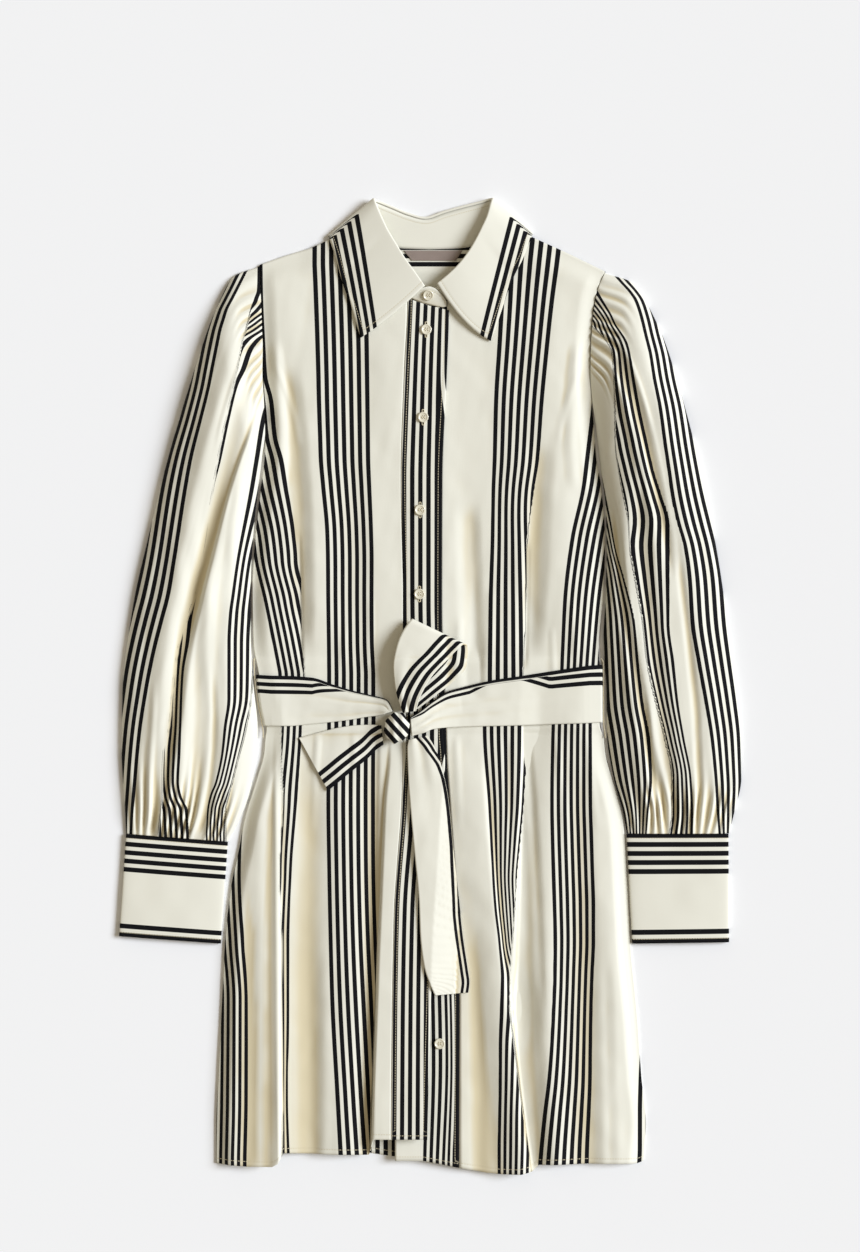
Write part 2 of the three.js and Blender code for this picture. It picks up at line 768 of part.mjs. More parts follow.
/** Points of a front: columns follow the guide lines, and rows blend into the top edge and the hem. */
function frontGrid(guides, top, hem, height, levels) {
  const places = columnsBetween(guides);
  const xAt = (place, y) => {
    const [k, share] = place;
    return share ? mix(guides[k].line(y), guides[k + 1].line(y), share) : guides[k].line(y);
  };
  const startY = places.map((place) => {
    let y = TOP_BLOCK + 90;
    for (let turn = 0; turn < 12; turn += 1) y = top(xAt(place, y));
    return y;
  });
  const endY = places.map((place) => hem(xAt(place, -470)));
  const rows = [];
  for (const share of [0, 0.1, 0.25, 0.45, 0.7]) {
    rows.push(places.map((_, j) => mix(startY[j], TOP_BLOCK, share)));
  }
  for (const level of levels) rows.push(places.map(() => level));
  for (const share of [0.35, 0.7, 1]) rows.push(places.map((_, j) => mix(HEM_BLOCK, endY[j], share)));
  return rows.map((row) => row.map((y, j) => {
    const x = xAt(places[j], y);
    return new THREE.Vector3(x, y, height(x, y));
  }));
}

const LEVELS = [
  TOP_BLOCK, 290, 250, 210, 170, 130, 90, 58, 38, 22, 0, -20, -44, -58, -80, -110, -150, -200, -250,
  -300, -355, HEM_BLOCK,
];

function frontRight() {
  const dart = along(GUIDES_RIGHT, 'dart');
  const neckPoint = along(GUIDES_RIGHT, 'neckPoint');
  const guides = [
    { line: leftSide, steps: 3 },
    { line: (y) => leftSide(y) + EDGE_RISE, steps: 2 },
    { line: (y) => Math.max(dart(y), leftSide(y) + EDGE_RISE + 6), steps: 1 },
    { line: (y) => Math.max(dart(y), leftSide(y) + EDGE_RISE + 6) + 7, steps: 3 },
    { line: neckPoint, steps: 4 },
    { line: (y) => foldLine(y) - 2, steps: 1 },
    { line: (y) => foldLine(y) + 2, steps: 2 },
    { line: placketLeft },
  ];
  return frontGrid(guides, outline(FRONT_TOP), outline(HEM_RIGHT), rightZ, LEVELS);
}

function frontLeft() {
  const fold = along(GUIDES_LEFT, 'fold');
  const neckPoint = along(GUIDES_LEFT, 'neckPoint');
  const guides = [
    { line: (y) => bandSeam(y) + GAP, steps: 3 },
    { line: fold, steps: 1 },
    { line: (y) => fold(y) + 7, steps: 3 },
    { line: neckPoint, steps: 4 },
    { line: (y) => rightSide(y) - EDGE_RISE, steps: 3 },
    { line: rightSide },
  ];
  return frontGrid(guides, outline(FRONT_TOP_LEFT), outline(HEM_LEFT), frontZ, LEVELS);
}

function buttonBand() {
  const guides = [
    { line: (y) => placketLeft(y) + 4, steps: 3 },
    { line: bandSeam },
  ];
  return frontGrid(guides, outline(FRONT_TOP_LEFT), outline(HEM_LEFT), frontZ, LEVELS);
}

function placket() {
  const guides = [
    { line: (y) => placketLeft(y) + GAP, steps: 4 },
    { line: placketRight },
  ];
  const hem = () => PLACKET_HEM;
  const neck = outline(FRONT_TOP);
  return frontGrid(guides, (x) => neck(x) - PLACKET_DROP, hem, placketZ, LEVELS);
}

function backPanel() {
  const levels = [341, 313, 285, 256, 226, 200, 145, 93, 42, 28.5, 23.5, 12, -14, -39, -42.5, -47.5, -53,
    -68, -104, -162, -231, -334, -410];
  const shares = [0, 0.25, 0.5, 0.75, 1];
  const hem = outline(HEM_BACK);
  const rows = [YOKE_SEAM - GAP, ...levels].map((y) => shares.map((share) => {
    const x = mix(leftSide(y), rightSide(y), share);
    return new THREE.Vector3(x, y, backZ(x, y));
  }));
  rows.push(shares.map((share) => {
    const x = mix(leftSide(-478), rightSide(-478), share);
    return new THREE.Vector3(x, hem(x), HALF);
  }));
  return rows;
}

function backYoke() {
  const shares = [0, 0.2, 0.42, 0.6, 0.8, 1];
  return shares.map((share) => BACK_TOP.rows.map(([topX, startY]) => {
    const y = mix(startY, YOKE_SEAM, share);
    const place = (topX - leftSide(startY)) / (rightSide(startY) - leftSide(startY));
    const x = mix(leftSide(y), rightSide(y), place);
    return new THREE.Vector3(x, y, backZ(x, y));
  }));
}

/** Sections of the collar: its roll, its neck seam and its edge in space, and the way out of it. */
function collarSection(read, row) {
  const s = read(row);
  const front = clamp(1 - s.turn / 90);
  const seamBack = backZ(s.seamX, s.seamY);
  const onPlacket = s.seamX < 0 ? rightZ(s.seamX, s.seamY - 1) : frontZ(s.seamX, s.seamY - 1);
  const seamZ = mix(seamBack, onPlacket, smooth(front * 2));
  const roll = new THREE.Vector3(s.rollX, s.rollY, s.rollZ);
  const seam = new THREE.Vector3(s.seamX, s.seamY, s.turn > 60 && s.turn < 120 ? seamBack + 0.75 : seamZ);
  const up = roll.clone().sub(seam).normalize();
  const turn = (s.turn * Math.PI) / 180;
  const side = new THREE.Vector3(s.rollX < 3 ? -up.y : up.y, s.rollX < 3 ? up.x : -up.x, 0).normalize();
  const out = new THREE.Vector3(0, 0, Math.cos(turn)).addScaledVector(side, Math.sin(turn)).normalize();
  return { ...s, roll, seam, up, out };
}

function collarStand() {
  const read = sections(COLLAR);
  const last = COLLAR.rows.length - 1;
  const shares = [0, 0.4, 0.75, 1];
  const rows = [];
  const endRow = (table, row, height) => {
    const [topX, topY, seamX, seamY, rise] = table.rows[row];
    const base = height(seamX, seamY);
    rows.push(shares.map((share) => new THREE.Vector3(
      mix(seamX, topX, share),
      mix(seamY, topY, share) + GAP * (1 - share),
      base + rise * share,
    )));
  };
  STAND_TAB.rows.forEach((_, row) => endRow(STAND_TAB, row, placketZ));
  for (let row = 0; row <= last; row += 1) {
    const { roll, seam, up, out } = collarSection(read, row);
    const top = roll.clone().addScaledVector(out, -ROLL_RADIUS).addScaledVector(up, -1.6);
    const low = seam.clone().addScaledVector(up, 2 * GAP);
    rows.push(shares.map((share) => low.clone().lerp(top, share)));
  }
  STAND_UNDER.rows.forEach((_, row) => endRow(STAND_UNDER, row, frontZ));
  return rows;
}

function collarFall() {
  const read = sections(COLLAR);
  const last = COLLAR.rows.length - 1;
  const rows = [];
  for (let row = 0; row <= last; row += 0.75) {
    const s = collarSection(read, row);
    const { roll, up, out } = s;
    const points = [roll.clone().addScaledVector(out, -ROLL_RADIUS).addScaledVector(up, -1.1)];
    for (const angle of [-90, -30, 30, 90]) {
      const turn = (angle * Math.PI) / 180;
      points.push(roll.clone()
        .addScaledVector(up, ROLL_RADIUS * Math.cos(turn))
        .addScaledVector(out, ROLL_RADIUS * Math.sin(turn)));
    }
    const start = points[points.length - 1];
    const front = clamp(1 - s.turn / 90);
    for (const share of [0.25, 0.5, 0.75, 1]) {
      const x = mix(start.x, s.edgeX, share);
      const y = mix(start.y, s.edgeY, share) - s.bow * 4 * share * (1 - share);
      const onFront = Math.max(
        mix(start.z, coverZ(s.edgeX, s.edgeY, 3) + LAYER + 0.8, share),
        coverZ(x, y, 3) + LAYER + 0.5,
      );
      const onBack = Math.max(HALF, mix(start.z, HALF, Math.min(1, share / 0.55)));
      const atFold = mix(start.z, 4, share);
      const z = s.turn < 90 ? mix(atFold, onFront, smooth(front * 2)) : mix(atFold, onBack, (s.turn - 90) / 90);
      points.push(new THREE.Vector3(x, y, s.turn > 140 ? onBack : z));
    }
    rows.push(points);
  }
  return rows;
}

/** Shares and heights of a sleeve's ring, as parts of its height: over the top, then along the floor. */
function sleeveProfile() {
  const profile = [[0, 0, 0], [0.012, 0.25, 0]];
  for (let k = 0; k < GATHER_POINTS; k += 1) {
    const share = mix(0.035, 0.965, k / (GATHER_POINTS - 1));
    const dome = Math.sqrt(1 - Math.abs(2 * share - 1) ** 2.6);
    profile.push([share, dome, k % 2 ? 1 : -1]);
  }
  profile.push([0.988, 0.25, 0], [1, 0, 0]);
  return profile;
}
const FLOOR = [
  [0.99, 0.8], [0.965, 0], [0.82, 0], [0.66, 0], [0.5, 0], [0.34, 0], [0.18, 0], [0.035, 0], [0.01, 0.8],
];
const SIDE_HIGH = 2.5;

function sleeveFold(row, share, at) {
  const [startShare, endShare, startRow, endRow, left, right, startHigh, endHigh] = row;
  const t = (at - startRow) / (endRow - startRow);
  if (t <= 0 || t >= 1) return 0;
  const crest = mix(startShare, endShare, t);
  const away = share < crest ? (crest - share) / left : (share - crest) / right;
  return mix(startHigh, endHigh, t) * smooth(t / 0.2) * smooth((1 - t) / 0.2) * smooth(1 - away);
}

function sleeve(table, folds, places, armhole, side) {
  const read = sections(table);
  return places.map((at) => {
    const s = read(at);
    const inArmhole = clamp(1 - at);
    const planPoint = (share) => {
      const y = mix(s.outerY, s.innerY, share);
      const x = mix(s.outerX, s.innerX, share);
      const bent = armhole(y) + side * ARMHOLE_GAP;
      return [mix(x, bent, inArmhole ** 2), y];
    };
    const upper = sleeveProfile().map(([share, dome, wave]) => {
      const [x, y] = planPoint(share);
      const onCap = at < 3 ? smooth((0.8 - share) / 0.1) : 1;
      const folded = folds.rows.reduce((sum, row) => sum + sleeveFold(row, share, at), 0);
      const z = SIDE_HIGH + (s.high - SIDE_HIGH) * dome + wave * s.gather * onCap * dome;
      return new THREE.Vector3(x, y, z + folded * dome);
    });
    const lower = FLOOR.map(([share, z]) => {
      const [x, y] = planPoint(share);
      return new THREE.Vector3(x, y, z);
    });
    return [...upper, ...lower];
  });
}

function cuff(row) {
  const [, outerTopX, outerTopY, innerTopX, innerTopY, outerLowX, outerLowY, innerLowX, innerLowY] = row;
  const profile = [
    [0, CUFF_HIGH / 2], [0.01, CUFF_HIGH * 0.85], [0.04, CUFF_HIGH], [0.5, CUFF_HIGH + 0.4],
    [0.96, CUFF_HIGH], [0.99, CUFF_HIGH * 0.85], [1, CUFF_HIGH / 2],
    [0.99, CUFF_HIGH * 0.15], [0.96, 0], [0.5, 0], [0.04, 0], [0.01, CUFF_HIGH * 0.15],
  ];
  return [0, 0.5, 1].map((down) => profile.map(([share, z]) => {
    const outerX = mix(outerTopX, outerLowX, down);
    const outerY = mix(outerTopY, outerLowY, down);
    const innerX = mix(innerTopX, innerLowX, down);
    const innerY = mix(innerTopY, innerLowY, down);
    return new THREE.Vector3(mix(outerX, innerX, share), mix(outerY, innerY, share), z);
  }));
}

/** Belt from the knot round the body and back: front bands, turns at the sides and back band. */
function beltWaist() {
  const across = [0, 0.25, 0.5, 0.75, 1];
  const endAt = (name) => along(BELT_ENDS, name);
  const ends = {
    right: { x: endAt('rightX'), y: endAt('rightY'), side: -1 },
    left: { x: endAt('leftX'), y: endAt('leftY'), side: 1 },
  };
  const rows = [];
  const frontRow = (table, index) => {
    const [topX, topY, lowX, lowY, rise, crease] = table.rows[index];
    rows.push(across.map((share, j) => {
      const x = mix(topX, lowX, share);
      const y = mix(topY, lowY, share);
      const ridge = j % 2 ? crease : -crease * 0.3;
      return new THREE.Vector3(x, y, coverZ(x, y, 6) + LAYER + rise + Math.max(0, ridge));
    }));
  };
  const turn = (end, angles) => {
    for (const angle of angles) {
      const around = (angle * Math.PI) / 180;
      rows.push(across.map((share) => {
        const high = HALF + 2 * LAYER + LAYER + 0.2;
        const middle = (high + HALF) / 2;
        const radius = (high - HALF) / 2;
        const x = end.x(share) - end.side * (radius - radius * Math.cos(around));
        return new THREE.Vector3(x, end.y(share), middle + radius * Math.sin(around));
      }));
    }
  };
  BELT_FRONT_RIGHT.rows.forEach((_, index) => frontRow(BELT_FRONT_RIGHT, index));
  turn(ends.right, [90, 50, 15, -15, -50, -90]);
  for (const share of [0.06, 0.3, 0.5, 0.7, 0.94]) {
    rows.push(across.map((part) => new THREE.Vector3(
      mix(ends.right.x(part), ends.left.x(part), share),
      mix(ends.right.y(part), ends.left.y(part), share),
      HALF,
    )));
  }
  turn(ends.left, [-90, -50, -15, 15, 50, 90]);
  BELT_FRONT_LEFT.rows.forEach((_, index) => frontRow(BELT_FRONT_LEFT, index));
  return rows;
}

function beltKnot() {
  const segments = 14;
  const start = new THREE.Vector2(...KNOT_START);
  const end = new THREE.Vector2(...KNOT_END);
  const axis = end.clone().sub(start).normalize();
  return KNOT.rows.map(([share, halfWide, halfHigh]) => {
    const centre = start.clone().lerp(end, share);
    const ring = [];
    for (let k = 0; k < segments; k += 1) {
      const angle = (2 * Math.PI * k) / segments;
      const aside = halfWide * Math.cos(angle);
      ring.push(new THREE.Vector3(
        centre.x - axis.y * aside,
        centre.y + axis.x * aside,
        KNOT_CENTRE_Z + halfHigh * Math.sin(angle),
      ));
    }
    return ring;
  });
}

/** Strip of belt over the dress: sections between both edges, bowed a little at the middle. */
function strip(table, reach, bow) {
  return table.rows.map(([leftX, leftY, rightX, rightY, rise]) => {
    const shares = [0, 0.16, 0.33, 0.5, 0.67, 0.84, 1];
    return shares.map((share) => {
      const x = mix(leftX, rightX, share);
      const y = mix(leftY, rightY, share);
      const z = coverZ(x, y, reach) + LAYER + rise + bow * 4 * share * (1 - share);
      return new THREE.Vector3(x, y, z);
    });
  });
}

function carrier(name) {
  const x = along(CARRIERS, name);
  const z = along(CARRIERS, 'z');
  const side = name === 'rightX' ? -1 : 1;
  const rows = [28, 24, 20, 12, 0, -12, -26, -38, -44, -48, -52];
  return rows.map((y) => [-0.5, 0.5].map((share) => new THREE.Vector3(
    x(y) + side * 0.02, y, z(y) + share * CARRIER_WIDE * side,
  )));
}

function neckLabel() {
  const { top, low, topLeft, topRight, lowLeft, lowRight } = LABEL;
  return [0, 0.5, 1].map((down) => [0, 0.25, 0.5, 0.75, 1].map((share) => {
    const x = mix(mix(topLeft, lowLeft, down), mix(topRight, lowRight, down), share);
    const y = mix(top, low, down);
    return new THREE.Vector3(x, y, backZ(x, y) + HALF + GAP + LABEL_THICK / 2);
  }));
}

const model = new THREE.Group();
model.name = 'shirt_dress';

function add(name, geometry, colour, roughness = 0.85) {
  const material = new THREE.MeshStandardMaterial({ color: colour, roughness, metalness: 0 });
  material.name = `${name}_finish`;
  const mesh = new THREE.Mesh(geometry, material);
  mesh.name = name;
  model.add(mesh);
  return mesh;
}

function addButton(row, index) {
  const [x, y, on] = row;
  const height = on === 'band' ? frontZ : placketZ;
  const step = 5;
  const tab = STAND_TAB.rows[3];
  const slopeX = (height(x + step, y) - height(x - step, y)) / (2 * step);
  const slopeY = (height(x, y + step) - height(x, y - step)) / (2 * step);
  const normal = on === 'tab'
    ? new THREE.Vector3(0, -tab[4] / (tab[1] - tab[3]), 1).normalize()
    : new THREE.Vector3(-slopeX, -slopeY, 1).normalize();
  const base = on === 'tab'
    ? placketZ(x, tab[3]) + (tab[4] * (y - tab[3])) / (tab[1] - tab[3])
    : height(x, y);
  const clear = on === 'tab' ? 0.5 : 0.15;
  const button = add(`button_${index + 1}`, turned(BUTTON_PROFILE, BUTTON_SEGMENTS), BUTTON_CREAM, 0.35);
  const seat = new THREE.Vector3(x, y, base).addScaledVector(normal, HALF + GAP + clear);
  button.quaternion.setFromUnitVectors(new THREE.Vector3(0, 0, 1), normal);
  button.position.copy(seat);
}

add('back_panel', sheet(backPanel()), SHADED_CREAM);
add('back_yoke', sheet(backYoke()), SHADED_CREAM);
add('front_right', sheet(frontRight()), CREAM);
add('front_left', sheet(frontLeft()), CREAM);
add('button_band', sheet(buttonBand()), CREAM);
add('placket', sheet(placket()), CREAM);
add('collar_stand', sheet(collarStand()), CREAM);
add('collar_fall', sheet(collarFall()), CREAM);
add('sleeve_right', tube(sleeve(SLEEVE_RIGHT, SLEEVE_FOLDS_RIGHT, SLEEVE_ROWS_RIGHT, leftSide, -1)), CREAM);
add('sleeve_left', tube(sleeve(SLEEVE_LEFT, SLEEVE_FOLDS_LEFT, SLEEVE_ROWS_LEFT, rightSide, 1)), CREAM);
CUFFS.rows.forEach((row) => add(row[0], tube(cuff(row)), CREAM));
add('belt_waist', sheet(beltWaist()), CREAM);
add('belt_knot', tube(beltKnot()), CREAM);
add('belt_loop', sheet(strip(BELT_LOOP, 9, 0.5)), CREAM);
add('belt_tail_short', sheet(strip(BELT_TAIL_SHORT, 6, 1)), CREAM);
add('belt_tail_long', sheet(strip(BELT_TAIL_LONG, 24, 0.4)), CREAM);
add('belt_carrier_right', sheet(carrier('rightX'), 0.9), CREAM);
add('belt_carrier_left', sheet(carrier('leftX'), 0.9), CREAM);
add('neck_label', sheet(neckLabel(), LABEL_THICK), TAUPE);
BUTTONS.rows.forEach(addButton);

export default model;
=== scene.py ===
"""Shirt dress laid flat: striped cotton cloth, tied belt, shirt buttons and a studio stage."""
import math

import bpy
import numpy as np
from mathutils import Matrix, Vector


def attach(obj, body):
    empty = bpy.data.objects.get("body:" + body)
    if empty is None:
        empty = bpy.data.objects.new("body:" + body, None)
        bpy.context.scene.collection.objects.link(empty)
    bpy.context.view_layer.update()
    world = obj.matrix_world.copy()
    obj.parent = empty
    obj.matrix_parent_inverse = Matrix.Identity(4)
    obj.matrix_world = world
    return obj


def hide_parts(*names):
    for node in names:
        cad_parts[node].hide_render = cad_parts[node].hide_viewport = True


bl_info = {
    "name": "Shirt dress",
    "version": (1, 0, 0),
    "blender": (4, 5, 0),
    "location": "View3D > Sidebar > Shirt dress",
    "description": "Builds the cloth, belt, buttons and stage of a shirt dress laid flat",
    "category": "Add Mesh",
}

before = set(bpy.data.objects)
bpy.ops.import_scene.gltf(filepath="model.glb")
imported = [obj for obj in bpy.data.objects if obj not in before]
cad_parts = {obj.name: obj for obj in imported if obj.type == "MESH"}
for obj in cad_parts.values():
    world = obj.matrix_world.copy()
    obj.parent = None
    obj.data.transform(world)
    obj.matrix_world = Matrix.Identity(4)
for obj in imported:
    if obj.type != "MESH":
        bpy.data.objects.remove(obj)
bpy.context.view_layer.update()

# Sizes are in millimetres; meshes are written in metres.
MM = 0.001
# Patterns are measured on the layout from its top left corner, across and down.
LAYOUT_ACROSS = 430
LAYOUT_DOWN = 686
# Step from one cloth to the next, half a doubled cloth, and the two thicknesses.
LAYER = 1.5
HALF = 0.6
SINGLE = 0.8
DOUBLE = 1.2
# Edges of the fronts: how far in they rise, and their lift and gap at the armholes.
EDGE_RISE = 16
ARMHOLE_LIFT = 2
ARMHOLE_GAP = 0.45
ROLL_RADIUS = 0.95
# Lifted parts of the back: low, high and ramp at the belt; start, end, reach and side at the collar.
BELT_BACK = (-42.5, 23.5, 5)
COLLAR_BACK = (408, 416, 134, 28)
# Heights: yoke seam, waist, and where the rows begin to follow the top and the hem.
YOKE_SEAM = 356
WAIST = -20
TOP_BLOCK = 330
HEM_BLOCK = -410
# Cloth drawn over the body: the step of its looks across, and how steeply it falls.
COVER_STEP = 1.5
DRAPE_SLOPE = 0.3
PLACKET_HEM = -452.5
PLACKET_DROP = 0.8
HEM_TURN = 8
# Measures across the stripes: a plain place, a group's end, its first centre, and the soft edge.
PLAIN = 77
GROUP_END = 53.2
STRIPE_CENTRE = 2
STRIPE_BLUR = 0.12
# Stripes of the yoke: how far down the layout they start, their end, and the line at the shoulder.
YOKE_START = 245.2
YOKE_END = 22.5
YOKE_LINE = 2.2
# Belt: its width, the measure at its upper edge, and the last measure that it reaches.
BELT_WIDE = 57
BELT_START = 32.8
BELT_END = 98
CUFF_DEEP = 103
# Cloth is tucked away where its measure runs this many times as fast as the place across.
FOLDED_RATE = 9
# Painted shade: a warm, darker colour multiplied into the cloth where it lies in a valley or crease.
PAINTED_VALLEY_SHADE = (0.84, 0.755, 0.59, 1)
# Distances of stitches from an edge: at hems, nowhere, and that of cloth without a seam.
HEM_STITCH = 5
NO_STITCH = 60
FAR = 50
SLEEVE_FLAT = (340, 590)
SLEEVE_AREA = 150000
FRONT_AREA = 150000
# Buttons: holes and thread off the centre, points round, and where the turned top begins.
HOLE_OFF = 1.15
BUTTON_ROUND = 64
BUTTON_TOP = 26
BUTTONHOLE_HALF = 1.15
# Stage in metres: half the floor, the camera's height, the picture's length, the plane it is true in.
FLOOR_HALF = 4.0
CAMERA_HIGH = 4.0
PICTURE_LONG = 1.252
PICTURE_PLANE = 0.01
SENSOR = 36


def table(columns, *rows):
    """Rows of sizes under named columns."""
    return {"columns": columns.split(), "rows": np.array(rows, float)}


def column(tab, name):
    """Values of one named column."""
    return tab["rows"][:, tab["columns"].index(name)]


SIDES = table(
    "y left right",
    [422, -170, 176], [415, -170, 175], [404, -170, 170], [391, -169, 166], [376, -168.3, 163.3],
    [355, -167.6, 161.4], [341, -167, 160.6], [313, -167.3, 160.1], [285, -165.8, 162],
    [256, -164.8, 164.4], [226, -166, 166.7], [200, -169.3, 171.4], [145, -175.4, 175.3],
    [93, -178.2, 173.8], [42, -177, 169], [12, -171.7, 169.6], [-14, -168.6, 169.6],
    [-39, -163.7, 169.8], [-53, -165.4, 174], [-68, -166.7, 175.5], [-91, -173, 181.5],
    [-104, -177, 185.5], [-134, -186, 193], [-162, -191, 195.6], [-196, -198.4, 197.3],
    [-231, -203, 199.3], [-258, -205.5, 200.8], [-334, -209.2, 208], [-392, -212.2, 211.8],
    [-438, -213.9, 216.4], [-478, -214, 213.7],
)
FRONT_TOP = table(
    "x y",
    [-170, 422], [-146, 430.6], [-118, 439], [-101, 447], [-82, 457], [-78, 450.4], [-71, 439],
    [-62, 427], [-50, 414], [-40, 404], [-28, 394.5], [-18, 387], [0, 381], [17, 377],
)
FRONT_TOP_LEFT = table(
    "x y",
    [-19, 379.5], [0, 380.5], [8, 382], [17, 385.5], [20, 387.5], [31, 396], [43, 404], [54, 415],
    [64, 428], [72, 440], [78.5, 452], [82, 458.5], [101.5, 450], [110, 446], [137, 434], [176, 415],
)
BACK_TOP = table(
    "x y",
    [-170, 422], [-146, 430.6], [-118, 439], [-101, 447], [-82, 457], [-70, 449.5], [-50, 441],
    [-28, 438], [0, 437], [28, 438], [50, 441], [70, 449.5], [82, 458.5], [101.5, 450], [110, 446],
    [137, 434], [176, 415],
)
HEM_RIGHT = table(
    "x y",
    [-214, -478], [-183, -480.7], [-154, -480.7], [-147, -467.3], [-93, -468.5], [-61, -469],
    [-57, -452.5], [-39, -452.5],
)
HEM_LEFT = table(
    "x y",
    [-7, -475], [29, -482], [54.5, -486.7], [69, -488.2], [89, -488.2], [101, -485.7], [108, -479.2],
    [158, -478], [208, -478], [213.7, -476],
)
HEM_BACK = table(
    "x y",
    [-214, -474], [-150, -465], [-70, -466], [-40, -471], [-6, -474], [70, -474], [213.7, -472],
)
OPENING = table(
    "y placket_left placket_right band_seam fold lift",
    [404, -23, 19, 17, -45, 0], [381, -22.8, 19, 17, -45, 0], [316, -26, 17, 15.2, -44, 0],
    [206, -29.3, 12.2, 11.4, -43, 0], [86, -27, 11.8, 11, -42, 0], [-45, -27, 13, 16, -40, 0],
    [-75, -27.6, 15, 17, -41, 2], [-114, -28.5, 12, 19.5, -45, 4], [-178, -33, 8, 24, -48, 5.5],
    [-224, -36, 5, 27, -50, 6.5], [-268, -37, 2.5, 28.4, -52, 7.2], [-323, -38, 0.6, 29.5, -54, 8],
    [-452, -39, -2.7, 29, -59, 9.5], [-490, -39, -3, 29, -60, 9.5],
)
FULLNESS = table(
    "y rise",
    [440, 2.5], [400, 4.5], [341, 6], [286, 6.5], [200, 6.5], [100, 6], [50, 4.5], [20, 2.2],
    [-45, 2.2], [-80, 4], [-150, 5.5], [-300, 7], [-490, 6],
)
GUIDES_RIGHT = table(
    "y dart neck_point",
    [457, -146, -82], [286, -145, -82], [146, -131, -84], [25, -131, -86], [-49, -155, -86],
    [-184, -156, -84], [-490, -152, -80],
)
GUIDES_LEFT = table(
    "y fold neck_point",
    [458, 43, 82], [286, 43, 88], [146, 45, 96], [25, 47, 97], [-54, 50, 103], [-184, 62, 110],
    [-314, 76, 118], [-490, 99, 127],
)
FOLD_COLUMNS = "start_x start_y end_x end_y bow left right start_high end_high"
FRONT_FOLDS = table(
    FOLD_COLUMNS,
    [-145, 330, -131, 18, 7, 20, 16, -3.6, -4.6], [-112, 370, -112, 30, 0, 42, 42, 2.5, 2.5],
    [-158, 350, -150, 190, 6, 10, 10, 2.2, 1.4], [112, 260, 97, 18, 0, 16, 18, -2.4, -4.2],
    [124, 370, 134, 30, 0, 40, 36, 2.5, 2.5], [150, 350, 146, 190, -6, 10, 10, 2.2, 1.4],
    [-155, -48, -151, -620, 0, 42, 7, 4, 9], [-196, -150, -203, -620, 0, 14, 16, 2, 3],
    [-92, -48, -84, -620, 0, 34, 36, 2.5, 5], [-122, -60, -120, -620, 0, 16, 16, -1, -2],
    [48, -48, 118, -620, -6, 34, 7, 3, 9], [104, -48, 132, -620, 0, 20, 24, 2.5, 5],
    [146, -48, 166, -620, 0, 18, 18, -1.5, -2.5], [172, -70, 190, -620, 0, 22, 22, 1.2, 2.2],
    [40, 190, 46, -20, 0, 18, 12, -2.2, -4],
)
# Shallow creases laid over the main folds.
FINE_FOLDS = table(
    FOLD_COLUMNS,
    [-133, 160, -130, 12, 1, 3.5, 5, -1.2, -1.4], [98, 150, 95, 12, 0, 4.5, 3.5, -1.2, -1.4],
    [-160, 330, -130, 235, 5, 5, 6, 0.9, 0.4], [158, 330, 128, 240, -5, 6, 5, 0.9, 0.4],
    [-60, 90, -64, 14, 2, 7, 6, 0.7, 1], [-82, 70, -90, 14, 0, 5, 6, 0.6, 0.9],
    [62, 100, 58, 12, 1, 9, 7, 0.9, 1.1], [30, 70, 27, 8, 0, 6, 6, 0.6, 0.9],
    [140, 90, 150, 12, 0, 6, 6, 0.7, 1], [122, 60, 124, 10, 0, 5, 5, 0.5, 0.8],
    [-112, -46, -118, -150, 0, 5, 6, 1.1, 0.2], [-76, -46, -74, -170, 0, 6, 6, 1, 0.2],
    [-132, -46, -140, -160, 0, 4, 5, 1, 0.2], [26, -46, 30, -150, 0, 5, 6, 1, 0.2],
    [76, -46, 84, -200, 0, 6, 7, -1.3, -0.3], [126, -46, 138, -170, 0, 6, 5, 1.2, 0.2],
    [156, -46, 168, -150, 0, 5, 6, 1.1, 0.2], [96, -40, 112, -330, 3, 8, 6, -1.6, -0.8],
    [98, 20, 86, -380, 0, 7, 34, -5.2, -5], [82, -270, 106, -600, 0, 6, 28, -4, -4.6],
    [-148, 10, -150, -620, 0, 6, 20, 1.6, 2.2], [-158, 10, -160, -620, 0, 14, 5, -2, -2.6],
    [-52, 0, -62, -620, 0, 20, 4, -1.4, -2.4], [-178, -210, -180, -500, 2, 9, 9, -0.8, -1.2],
    [-105, -250, -108, -520, 2, 10, 10, 0.7, 1],
    [44, -230, 48, -520, 2, 11, 10, -0.8, -1.2], [176, -260, 182, -520, 0, 9, 9, -0.7, -1.1],
)
